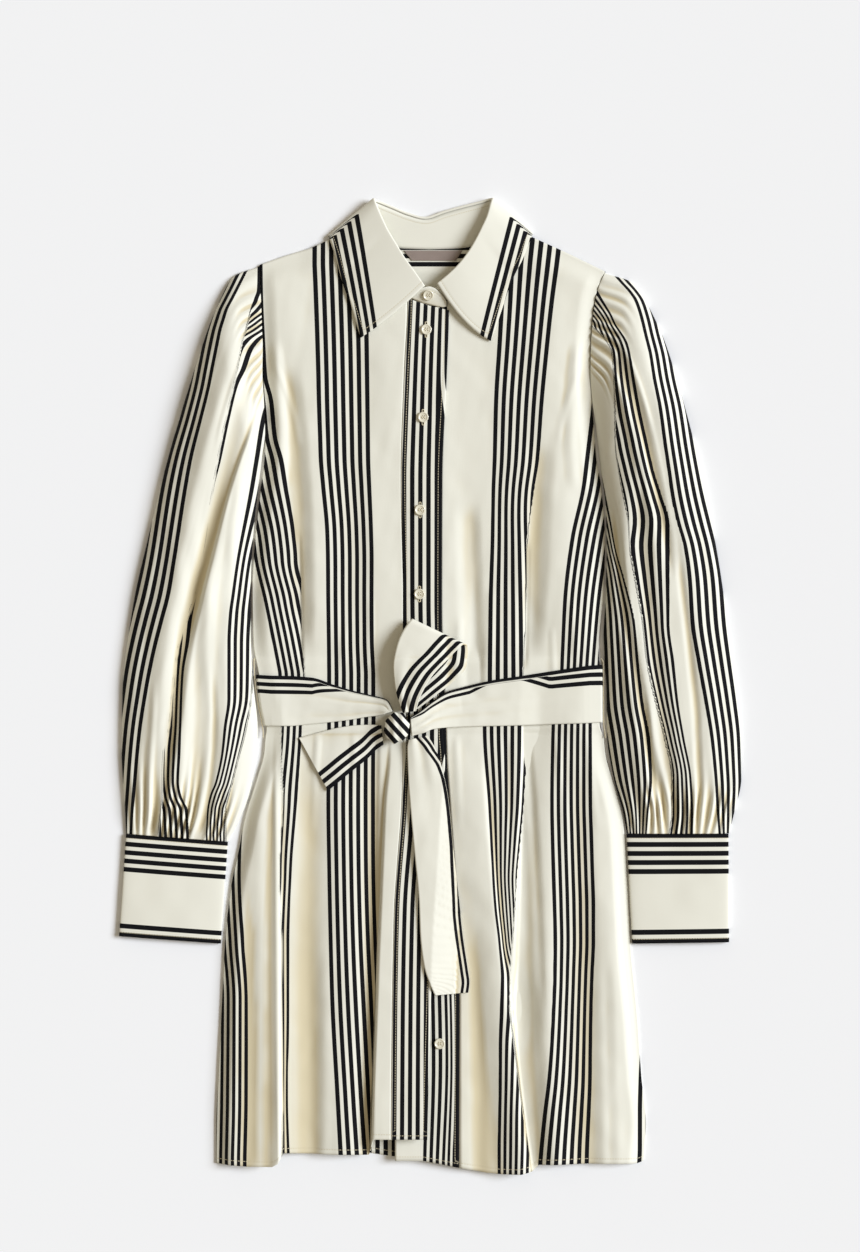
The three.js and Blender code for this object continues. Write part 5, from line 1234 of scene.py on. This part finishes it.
def build_collar_fall():
    """Fall: half a circle over the roll, then rows laid down to the edge on the cloth below."""
    row = np.linspace(0, 24, 193)
    s, roll, _, up, out = collar_section(row)
    points = [roll - out * ROLL_RADIUS - up * 1.1]
    for angle in np.radians(np.linspace(-90, 90, 9)):
        points.append(roll + up * ROLL_RADIUS * np.cos(angle) + out * ROLL_RADIUS * np.sin(angle))
    start = points[-1]
    front = np.clip(1 - s["turn"] / 90, 0, 1)
    edge_cover = cover_z(s["edge_x"], s["edge_y"], 3) + LAYER + 0.8
    shares = np.linspace(0, 1, 26)[1:]
    for share in shares:
        x = mix(start[:, 0], s["edge_x"], share)
        y = mix(start[:, 1], s["edge_y"], share) - s["bow"] * 4 * share * (1 - share)
        on_front = np.maximum(mix(start[:, 2], edge_cover, share), cover_z(x, y, 3) + LAYER + 0.5)
        on_back = np.maximum(HALF, mix(start[:, 2], HALF, min(1, share / 0.55)))
        at_fold = mix(start[:, 2], 4, share)
        turned = smooth((s["turn"] - 90) / 50)
        before = mix(at_fold, on_front, smooth(front * 2))
        points.append(packed(x, y, np.where(s["turn"] < 90, before, mix(at_fold, on_back, turned))))
    grid = np.stack(points, 1)
    x, y = grid[..., 0], grid[..., 1]
    on_right = np.minimum(stripe_place(STRIPES_COLLAR_RIGHT, x, y), PLAIN)
    on_left = np.maximum(stripe_place(STRIPES_COLLAR_LEFT, x, y), PLAIN)
    place = np.where((row < 12)[:, None], on_right, on_left)
    behind = smooth((s["turn"] - 60) / 40)[:, None]
    place = mix(place, PLAIN, behind)
    across = lengths(grid, 1)
    to_edge = across[:, -1:] - across
    down = lengths(grid)
    to_front = np.minimum(down, down[-1:] - down)
    outside = np.where(to_edge < to_front, to_edge, to_front)
    run = np.where(to_edge < to_front, down, across)
    obj = wall_mesh("collar_fall_cloth", grid, DOUBLE, packed(place, y), packed(run, outside))
    as_cloth(obj, "poplin", "striped_cotton", (62, 470), "folded", "collar_fall", area=24000)


def sleeve_fold_heights(tab, row, share):
    """Sum of bells across each long fold of a sleeve, faded at both ends."""
    total = np.zeros(np.broadcast(row, share).shape)
    for start_share, end_share, start_row, end_row, left, right, start_high, end_high in tab["rows"]:
        t = (row - start_row) / (end_row - start_row)
        crest = mix(start_share, end_share, t)
        away = np.where(share < crest, (crest - share) / left, (share - crest) / right)
        fade = smooth(t / 0.2) * smooth((1 - t) / 0.2)
        total = total + mix(start_high, end_high, t) * fade * smooth(1 - away)
    return total


def build_sleeve(node, tab, folds, stripes, armhole, side):
    """Ring over the top as a flattened dome with gathers and folds, and back along the floor."""
    last = len(tab["rows"]) - 1
    row = np.concatenate([
        np.linspace(0, 1.5, 36, endpoint=False), np.linspace(1.5, last - 2, 70, endpoint=False),
        np.linspace(last - 2, last, 44),
    ])[:, None]
    s = sections(tab, row)
    share = 0.5 - 0.5 * np.cos(np.linspace(0, math.pi, 132))
    share = mix(np.linspace(0, 1, 132), share, 0.35)[None]
    dome = np.maximum(1 - np.abs(2 * share - 1) ** 2.6, 0) ** 0.62
    in_armhole = np.clip(1 - row, 0, 1) ** 2

    def plan(shares):
        """Place on the layout, a share of the way from the outer to the inner side."""
        y = mix(s["outer_y"], s["inner_y"], shares)
        x = mix(s["outer_x"], s["inner_x"], shares)
        return mix(x, armhole(y) + side * ARMHOLE_GAP, in_armhole), y

    x, y = plan(share)
    phase = (share - 0.035) / 0.93 * (GATHER_POINTS - 1)
    drift = 0.9 * rumple(phase * 10, row * 30, 40, 60, 11 if side < 0 else 12)
    crest = -np.cos(math.pi * (phase + drift))
    uneven = 0.85 + 0.3 * rumple(phase * 10, row * 30, 14, 70, 13)
    on_cap = np.where(row < 3, smooth((0.8 - share) / 0.1), 1)
    near_armhole = np.where(row < 3, 1 - smooth((row - 0.25) / 1.35), 1)
    ripples = crest * uneven * s["gather"] * on_cap * near_armhole
    near_cuff = smooth((row - last + 2.4) / 1.6)
    trails = crest * 0.5 * near_cuff * (1 - smooth((row - last + 0.8) / 0.8))
    fine = rumple(x + 0.2 * y, y, 12, 60, 21) * 0.45 + rumple(x - 0.3 * y, y, 6, 30, 22) * 0.18
    fine = fine * smooth(row / 1.5) * smooth((last - row) / 0.6)
    z = SIDE_HIGH + (s["high"] - SIDE_HIGH) * dome
    z = z + (ripples + trails + sleeve_fold_heights(folds, row, share) + fine) * dome
    upper = packed(x, y, np.maximum(z, 1.6))
    floor_share = np.linspace(0.995, 0.005, 46)[None]
    floor_z = np.interp(floor_share, column(FLOOR, "share")[::-1], column(FLOOR, "z")[::-1])
    grid = np.concatenate([upper, packed(*plan(floor_share), floor_z)], 1)
    x, y = grid[..., 0], grid[..., 1]
    place = packed(stripe_place(stripes, x, y, 1.15, 1.15), y)
    obj = wall_mesh(f"{node}_cloth", grid, SINGLE, place, no_seam(grid), around=True)
    as_cloth(obj, "poplin", "striped_cotton", SLEEVE_FLAT, "gathered", node, area=SLEEVE_AREA)


def build_cuff(node):
    """Flattened tube between two slanted edges, with its stripes round the arm."""
    outer_top, inner_top, outer_low, inner_low = np.reshape(CUFFS[node], (4, 2))
    down = np.linspace(0, 1, 60)[:, None]
    angle = np.linspace(0, 2 * math.pi, 120, endpoint=False)
    share = (0.5 - 0.5 * np.cos(angle))[None]
    lift = np.where(np.sin(angle) > 0, np.abs(np.sin(angle)) ** 0.5, -np.abs(np.sin(angle)) ** 0.3)[None]
    outer, inner = mix(outer_top, outer_low, down), mix(inner_top, inner_low, down)
    x, y = (mix(outer[:, [k]], inner[:, [k]], share) for k in (0, 1))
    wave = 0.35 * rumple(x, y, 22, 26, 31) * np.maximum(lift, 0)
    grid = packed(x, y, CUFF_HIGH / 2 + CUFF_HIGH / 2 * lift + wave)
    depth = CUFF_DEEP * down
    place = np.interp(depth, column(CUFF_STRIPES, "depth"), column(CUFF_STRIPES, "place"))
    seam = packed(x, np.minimum(depth, CUFF_DEEP - depth))
    obj = wall_mesh(f"{node}_cloth", grid, DOUBLE, packed(place, x), seam, around=True)
    as_cloth(obj, "poplin_doubled", "striped_cotton", (CUFF_DEEP, 216), "folded", node)


def pleats(across, strength, count, seed):
    """Creases running along a strip: a cosine across it, uneven from one to the next."""
    bend = rumple(across * 30, across * 0, 7, 9, seed)
    return strength * (0.5 - 0.5 * np.cos(2 * math.pi * count * (across + 0.06 * bend)))


def build_belt_waist():
    """Band from the knot round both sides and under the back, thinner in height near the knot."""
    across = np.concatenate([[0, 0.02, 0.04, 0.055], np.linspace(0.07, 0.1, 4), np.linspace(0.13, 1, 30)])
    rows = []

    def front(tab, seed):
        """Rows of a stretch over the front, drawn over the cloth below it."""
        count = len(tab["rows"])
        at = np.linspace(0, count - 1, 110)
        s = {name: value[:, None] for name, value in sections(tab, at).items()}
        x = mix(s["top_x"], s["low_x"], across)
        y = mix(s["top_y"], s["low_y"], across)
        ridge = pleats(across[None], s["crease"] * 0.55, 2.6, seed)
        lie = cover_z(x, y, 18, 0.1) + LAYER + s["rise"]
        near = (s["crease"] / 2) * rumple(x, y, 16, 7, 43) * 0.5
        rows.append(packed(x, y, lie + ridge + np.maximum(near, -0.1)))

    def turn(name, side, angles):
        """Rows of the half circle round a side of the body."""
        high = HALF + 3 * LAYER + 0.2
        middle, radius = (high + HALF) / 2, (high - HALF) / 2
        x0, y0 = along(BELT_ENDS, name + "_x")(across), along(BELT_ENDS, name + "_y")(across)
        around = np.radians(np.array(angles, float))[:, None]
        x = x0 - side * (radius - radius * np.cos(around))
        rows.append(packed(x, y0, middle + radius * np.sin(around)))

    front(BELT_FRONT_RIGHT, 42)
    turn("right", -1, np.linspace(90, -90, 13))
    part = np.linspace(0.03, 0.97, 60)[:, None]
    x = mix(along(BELT_ENDS, "right_x")(across), along(BELT_ENDS, "left_x")(across), part)
    y = mix(along(BELT_ENDS, "right_y")(across), along(BELT_ENDS, "left_y")(across), part)
    rows.append(packed(x, y, HALF))
    turn("left", 1, np.linspace(-90, 90, 13))
    front(BELT_FRONT_LEFT, 41)
    grid = np.concatenate(rows)
    run = lengths(grid[:, 17])[:, None]
    down = BELT_WIDE * across[None]
    turned = np.interp(grid[..., 0], column(TUCKS_WAIST, "x"), column(TUCKS_WAIST, "turned"))
    turned = turned * (grid[..., 2] > 4) * smooth((down - 4) / 0.56)
    place = np.minimum(BELT_START + down + turned, BELT_END)
    obj = wall_mesh("belt_waist_cloth", grid, DOUBLE, packed(place, run), no_seam(grid))
    as_cloth(obj, "poplin_belt", "belt_cotton", (BELT_WIDE, 700), "folded", "belt_waist", area=36000)


def build_strip(node, tab, reach, bow, start, tucks, flat, pleat, seed):
    """Strip of belt laid over the dress, bowed across, with creases that fade from the knot."""
    count = len(tab["rows"])
    at = np.linspace(0, count - 1, 150)[:, None]
    s = sections(tab, at)
    across = np.linspace(0, 1, 30)[None]
    x = mix(s["left_x"], s["right_x"], across)
    y = mix(s["left_y"], s["right_y"], across)
    z = cover_z(x, y, reach) + LAYER + s["rise"] + bow * 4 * across * (1 - across)
    fade = 1 - smooth(at / (count - 1) * 2.2)
    if node == "belt_loop":
        fade = np.maximum(fade, 1 - smooth((count - 1 - at) / (count - 1) * 2.2))
    z = z + pleats(across, pleat, 2.2, seed) * fade + np.maximum(rumple(x, y, 18, 30, seed) * 0.35, -0.1)
    grid = packed(x, y, z)
    run = lengths(grid[:, 15])[:, None]
    edge = np.hypot(x - s["right_x"], y - s["right_y"])
    width, shown = (np.interp(run, column(tucks, "run"), column(tucks, name)) for name in ("width", "shown"))
    within = np.where(edge < width, edge * shown / width - shown, edge - width)
    place = packed(start + STRIPES_WIDE + within, run)
    obj = wall_mesh(f"{node}_cloth", grid, DOUBLE, place, no_seam(grid))
    as_cloth(obj, "poplin_belt", "belt_cotton", flat, "folded", node)


def build_knot():
    """Wrap of the belt about the knot: a barrel with creases that run round it on a slant."""
    part = np.linspace(0, 1, 60)[:, None]
    keys = column(KNOT, "along")
    wide = hermite(keys, column(KNOT, "half_wide"))(part)
    tall = hermite(keys, column(KNOT, "half_high"))(part)
    angle = np.linspace(0, 2 * math.pi, 96, endpoint=False)[None]
    start, end = np.array(KNOT_START), np.array(KNOT_END)
    axis = (end - start) / np.linalg.norm(end - start)
    round_off = 1 - 0.42 * np.abs(2 * part - 1) ** 3
    slant = part * 2.6 + 0.3 * np.cos(angle)
    crease = round_off * (1 + 0.07 * np.cos(2 * math.pi * slant) * smooth(part * 6) * smooth((1 - part) * 6))
    aside = wide * crease * np.cos(angle)
    x = mix(start[0], end[0], part) - axis[1] * aside
    y = mix(start[1], end[1], part) + axis[0] * aside
    z = KNOT_CENTRE_Z + tall * crease * np.sin(angle)
    grid = packed(x, y, z)
    middle = (start + end) / 2
    place = packed(0.74 * (x - middle[0]) + 0.67 * (y - middle[1]) + 20.5, x - y)
    obj = wall_mesh("belt_knot_cloth", grid, DOUBLE, place, no_seam(grid), around=True)
    as_cloth(obj, "poplin_belt", "belt_cotton", (27, 76), "folded", "belt_knot")


def tube_along(centre, radius, segments=8):
    """Round tube: rings of points about a path, square to it, closed at both ends by small rings."""
    ahead = np.gradient(centre, axis=0)
    ahead /= np.linalg.norm(ahead, axis=1, keepdims=True)
    up = np.tile([0.0, 0.0, 1.0], (len(centre), 1))
    side = np.cross(up, ahead)
    side /= np.maximum(np.linalg.norm(side, axis=1, keepdims=True), 1e-6)
    up = np.cross(ahead, side)
    angle = np.linspace(0, 2 * math.pi, segments, endpoint=False)
    radius = np.broadcast_to(radius, (len(centre),)).copy()
    radius[[0, -1]] = 0.02
    rings = centre[:, None] + radius[:, None, None] * (
        side[:, None] * np.cos(angle)[None, :, None] + up[:, None] * np.sin(angle)[None, :, None]
    )
    index = np.arange(len(centre) * segments).reshape(len(centre), segments)
    after = np.roll(index, -1, 1)
    faces = np.stack([index[:-1], index[1:], after[1:], after[:-1]], -1).reshape(-1, 4)
    return rings.reshape(-1, 3), faces


def joined(name, parts):
    """One object of several tubes."""
    points, faces, start = [], [], 0
    for some, quads in parts:
        points.append(some)
        faces.append(quads + start)
        start += len(some)
    points = np.concatenate(points) * MM
    return mesh_object(name, points, np.concatenate(faces), {})


def build_carrier(node, name, side):
    """Thread carrier: two strands twisted about the path round the belt's side."""
    y = np.linspace(28, -52, 160)
    x = along(CARRIERS, name)(y)
    z = along(CARRIERS, "z")(y)
    parts = []
    for phase in (0, math.pi):
        twist = y * 1.9 + phase
        centre = packed(x + 0.28 * np.cos(twist) * side, y, z + 0.42 * np.sin(twist))
        parts.append(tube_along(centre, 0.4))
    as_part(joined(f"{node}_thread", parts), "sewing_thread", "carrier_thread", node)


def build_label():
    """Woven tape in the back neck, left bare."""
    top, low, top_left, top_right, low_left, low_right = LABEL
    down = np.linspace(0, 1, 14)[:, None]
    share = np.linspace(0, 1, 50)[None]
    x = mix(mix(top_left, low_left, down), mix(top_right, low_right, down), share)
    y = mix(top, low, down)
    z = back_z(x, y) + HALF + 0.3 + LABEL_THICK / 2 + 0.25 * rumple(x, y, 14, 8, 51) ** 2
    grid = packed(x, y, z)
    obj = wall_mesh("neck_label_tape", grid, LABEL_THICK, packed(PLAIN, y), packed(x, y - low))
    as_cloth(obj, "woven_tape", "label_tape", (59, 10.2), "laid", "neck_label", area=530)


def button_seat(x, y, kind):
    """Place and direction of a button on the slope under it, as in the solids."""
    if kind == 0:
        _, top_y, _, seam_y, rise = STAND_TAB["rows"][3]
        slope = rise / (top_y - seam_y)
        normal = Vector((0, -slope, 1)).normalized()
        base = float(placket_z(np.float64(x), np.float64(seam_y))) + slope * (y - seam_y)
        return Vector((x, y, base)) + normal * (HALF + 0.3 + 0.5), normal
    height = front_z if kind == 2 else placket_z
    step = 5.0

    def at(dx, dy):
        """Height of the cloth a step away from the button."""
        return float(height(np.float64(x + dx), np.float64(y + dy)))

    slope_x = (at(step, 0) - at(-step, 0)) / (2 * step)
    slope_y = (at(0, step) - at(0, -step)) / (2 * step)
    normal = Vector((-slope_x, -slope_y, 1)).normalized()
    return Vector((x, y, at(0, 0))) + normal * (HALF + 0.3 + 0.15), normal


def build_button(number, x, y, kind):
    """Four-hole button: a turned profile, pressed in at its holes, with two bars of thread."""
    seat, normal = button_seat(x, y, kind)
    profile = BUTTON_PROFILE["rows"]
    run = lengths(profile)
    at = np.concatenate([
        np.linspace(0, run[-2], BUTTON_TOP, endpoint=False), np.linspace(run[-2], run[-1], 16),
    ])
    radius = np.interp(at, run, profile[:, 0])[:, None]
    z = np.interp(at, run, profile[:, 1])[:, None]
    angle = np.linspace(0, 2 * math.pi, BUTTON_ROUND, endpoint=False)[None]
    px, py = radius * np.cos(angle), radius * np.sin(angle)
    hole = np.hypot(np.abs(px) - HOLE_OFF, np.abs(py) - HOLE_OFF)
    on_top = (np.arange(len(at)) >= BUTTON_TOP)[:, None]
    z = z - 0.9 * smooth((0.75 - hole) / 0.3) * on_top
    index = np.arange(len(at) * BUTTON_ROUND).reshape(len(at), BUTTON_ROUND)
    after = np.roll(index, -1, 1)
    faces = np.stack([index[:-1], after[:-1], after[1:], index[1:]], -1).reshape(-1, 4)
    turn = np.array(Vector((0, 0, 1)).rotation_difference(normal).to_matrix())
    place = packed(px, py, z).reshape(-1, 3) @ turn.T + np.array(seat)
    if signed_volume(place, faces) < 0:
        faces = faces[:, ::-1]
    obj = mesh_object(f"button_{number}_resin", place * MM, faces, {})
    as_part(obj, "polished_resin", "button_resin", f"button_{number}")
    t = np.linspace(-1, 1, 15)
    bars = []
    for sign in (-1, 1):
        centre = packed(sign * HOLE_OFF, HOLE_OFF * t, 1.75 - 0.9 * t ** 4)
        bars.append(tube_along(centre @ turn.T + np.array(seat), 0.32, 6))
    as_part(joined(f"button_{number}_thread", bars), "sewing_thread", "carrier_thread")


def signed_volume(points, faces):
    """Six times the volume inside the quads, below zero where they face inwards."""
    a, b, c, d = (points[faces[:, k]] for k in range(4))
    return float((a * np.cross(b, c)).sum() + (a * np.cross(c, d)).sum())


def build_buttonholes():
    """Buttonholes: a ring of satin stitch round a slit, along the placket under each button."""
    parts = []
    angle = np.linspace(0, 2 * math.pi, 73)
    wide = BUTTONHOLE_HALF
    for x, y, kind in BUTTONS["rows"]:
        if kind == 2:
            continue
        tall = 7.8 if kind == 1 else 6.6
        straight = np.clip(np.sin(angle) * 2.2, -1, 1) * (tall - wide) + np.sin(angle) * wide
        if kind == 0:
            hx, hy = x - 1.2 + straight * 0.8, y + wide * np.cos(angle)
            _, top_y, _, seam_y, rise = STAND_TAB["rows"][3]
            base = placket_z(np.full(73, x), np.full(73, seam_y))
            hz = base + rise / (top_y - seam_y) * (hy - seam_y) + HALF + 0.3
        else:
            hx, hy = x + wide * np.cos(angle), y + straight
            hz = placket_z(hx, hy) + HALF + 0.12
        parts.append(tube_along(packed(hx, hy, hz), 0.42 + 0.07 * np.sin(angle * 36)))
    as_part(joined("buttonhole_stitching", parts), "sewing_thread", "carrier_thread")


class ShirtDressSettings(bpy.types.PropertyGroup):
    """Colours, stripes, stitches and lights"""
    cream: bpy.props.FloatVectorProperty(
        name="Ground", description="Colour of the cloth between the stripes", subtype="COLOR",
        default=(0.81, 0.79, 0.685), min=0, max=1,
    )
    ink: bpy.props.FloatVectorProperty(
        name="Stripes", description="Colour of the dark stripes", subtype="COLOR",
        default=(0.003, 0.003, 0.0042), min=0, max=1,
    )
    thread: bpy.props.FloatVectorProperty(
        name="Thread", description="Colour of the sewing thread", subtype="COLOR",
        default=(0.66, 0.58, 0.40), min=0, max=1,
    )
    label: bpy.props.FloatVectorProperty(
        name="Label", description="Colour of the neck label", subtype="COLOR",
        default=(0.27, 0.21, 0.18), min=0, max=1,
    )
    button: bpy.props.FloatVectorProperty(
        name="Buttons", description="Colour of the buttons", subtype="COLOR",
        default=(0.76, 0.71, 0.56), min=0, max=1,
    )
    stripe_width: bpy.props.FloatProperty(
        name="Stripe width", description="Width of a dark stripe in millimetres",
        default=4.6, min=0.5, max=20,
    )
    stripe_pitch: bpy.props.FloatProperty(
        name="Stripe pitch", description="Step from stripe to stripe in millimetres",
        default=8.2, min=1, max=40,
    )
    stripe_repeat: bpy.props.FloatProperty(
        name="Repeat", description="Step from group to group in millimetres", default=102, min=60, max=400,
    )
    stitch_length: bpy.props.FloatProperty(
        name="Stitch length", description="Length of a stitch in millimetres", default=2.6, min=1, max=6,
    )
    weave_pitch: bpy.props.FloatProperty(
        name="Weave pitch", description="Step between threads in millimetres", default=0.5, min=0.1, max=3,
    )
    key_strength: bpy.props.FloatProperty(
        name="Key light", description="Strength of the large light at the right", default=4.09, min=0, max=50,
    )
    key_softness: bpy.props.FloatProperty(
        name="Key softness", description="Angle that the large light fills", subtype="ANGLE",
        default=math.radians(28), min=0, max=3,
    )
    key_height: bpy.props.FloatProperty(
        name="Key height", description="Angle of the large light above the floor", subtype="ANGLE",
        default=math.radians(35), min=0, max=1.57,
    )
    key_turn: bpy.props.FloatProperty(
        name="Key turn", description="Angle of the large light from the right towards the collar",
        subtype="ANGLE", default=math.radians(10), min=-3.15, max=3.15,
    )
    fill_strength: bpy.props.FloatProperty(
        name="Fill", description="Strength of the light from all round", default=0.35, min=0, max=5,
    )


class DRESS_OT_body(bpy.types.Operator):
    """Make the fronts, the placket, the button band and the back"""
    bl_idname = "dress.body"
    bl_label = "Body"

    def execute(self, context):
        build_back()
        build_yoke()
        build_front_right()
        build_front_left()
        build_button_band()
        build_placket()
        return {"FINISHED"}


class DRESS_OT_collar(bpy.types.Operator):
    """Make the collar's fall and stand, and the neck label"""
    bl_idname = "dress.collar"
    bl_label = "Collar"

    def execute(self, context):
        build_collar_fall()
        build_collar_stand()
        build_label()
        return {"FINISHED"}


class DRESS_OT_sleeves(bpy.types.Operator):
    """Make both sleeves and their cuffs"""
    bl_idname = "dress.sleeves"
    bl_label = "Sleeves"

    def execute(self, context):
        build_sleeve("sleeve_right", SLEEVE_RIGHT, SLEEVE_FOLDS_RIGHT, STRIPES_SLEEVE_RIGHT, left_side, -1)
        build_sleeve("sleeve_left", SLEEVE_LEFT, SLEEVE_FOLDS_LEFT, STRIPES_SLEEVE_LEFT, right_side, 1)
        for node in CUFFS:
            build_cuff(node)
        return {"FINISHED"}


class DRESS_OT_belt(bpy.types.Operator):
    """Make the tied belt and its thread carriers"""
    bl_idname = "dress.belt"
    bl_label = "Belt"

    def execute(self, context):
        build_belt_waist()
        build_strip("belt_loop", BELT_LOOP, 9, 0.5, 29.6, TUCKS_NONE, (50, 190), 1.1, 61)
        build_strip("belt_tail_short", BELT_TAIL_SHORT, 6, 1, BELT_START, TUCKS_NONE, (50, 80), 1.0, 62)
        build_strip("belt_tail_long", BELT_TAIL_LONG, 24, 0.4, BELT_START, TUCKS_TAIL, (44, 262), 1.2, 63)
        build_knot()
        build_carrier("belt_carrier_right", "right_x", -1)
        build_carrier("belt_carrier_left", "left_x", 1)
        return {"FINISHED"}


class DRESS_OT_buttons(bpy.types.Operator):
    """Make the buttons and the buttonholes"""
    bl_idname = "dress.buttons"
    bl_label = "Buttons"

    def execute(self, context):
        for number, (x, y, kind) in enumerate(BUTTONS["rows"], 1):
            build_button(number, x, y, int(kind))
        build_buttonholes()
        return {"FINISHED"}


class DRESS_OT_stage(bpy.types.Operator):
    """Make the floor, the lights and the camera"""
    bl_idname = "dress.stage"
    bl_label = "Stage"

    def execute(self, context):
        scene = context.scene
        settings = scene.shirt_dress
        corners = np.array([[-1, -1, 0], [1, -1, 0], [1, 1, 0], [-1, 1, 0]]) * FLOOR_HALF
        floor = mesh_object("floor", corners, np.array([[0, 1, 2, 3]]), {})
        floor.data.materials.append(floor_finish())
        camera_data = bpy.data.cameras.new("camera")
        camera_data.sensor_width = SENSOR
        camera_data.lens = SENSOR * (CAMERA_HIGH - PICTURE_PLANE) / PICTURE_LONG
        camera_data.clip_end = 20
        camera = bpy.data.objects.new("camera", camera_data)
        camera.location = (0, 0.06, CAMERA_HIGH)
        scene.collection.objects.link(camera)
        scene.camera = camera
        light = bpy.data.lights.new("key", "SUN")
        light.energy = settings.key_strength
        light.angle = settings.key_softness
        light.color = (0.85, 0.907, 1.0)
        lamp = bpy.data.objects.new("key", light)
        low, turn = settings.key_height, settings.key_turn
        towards = Vector((math.cos(low) * math.cos(turn), math.cos(low) * math.sin(turn), math.sin(low)))
        lamp.rotation_euler = (-towards).to_track_quat("-Z", "Y").to_euler()
        lamp.location = towards * 2
        scene.collection.objects.link(lamp)
        world = bpy.data.worlds.new("studio")
        world.use_nodes = True
        background = world.node_tree.nodes["Background"]
        background.inputs[0].default_value = (1, 0.88, 0.68, 1)
        background.inputs[1].default_value = settings.fill_strength
        scene.world = world
        scene.view_settings.view_transform = "Standard"
        return {"FINISHED"}


class DRESS_PT_panel(bpy.types.Panel):
    """Sidebar panel that lists the steps"""
    bl_idname = "DRESS_PT_panel"
    bl_label = "Shirt dress"
    bl_space_type = "VIEW_3D"
    bl_region_type = "UI"
    bl_category = "Shirt dress"

    def draw(self, context):
        settings = context.scene.shirt_dress
        for name in ShirtDressSettings.__annotations__:
            self.layout.prop(settings, name)
        for step in STEPS:
            self.layout.operator(step.bl_idname)


STEPS = (DRESS_OT_body, DRESS_OT_collar, DRESS_OT_sleeves, DRESS_OT_belt, DRESS_OT_buttons, DRESS_OT_stage)
CLASSES = (ShirtDressSettings, *STEPS, DRESS_PT_panel)


def register():
    """Register the classes and put the settings on the scene."""
    for item in CLASSES:
        bpy.utils.register_class(item)
    bpy.types.Scene.shirt_dress = bpy.props.PointerProperty(type=ShirtDressSettings)


def unregister():
    """Take the settings and the classes away again."""
    del bpy.types.Scene.shirt_dress
    for item in reversed(CLASSES):
        bpy.utils.unregister_class(item)


def main():
    """Register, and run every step."""
    register()
    bpy.ops.dress.body()
    bpy.ops.dress.collar()
    bpy.ops.dress.sleeves()
    bpy.ops.dress.belt()
    bpy.ops.dress.buttons()
    bpy.ops.dress.stage()


if __name__ == "__main__":
    main()
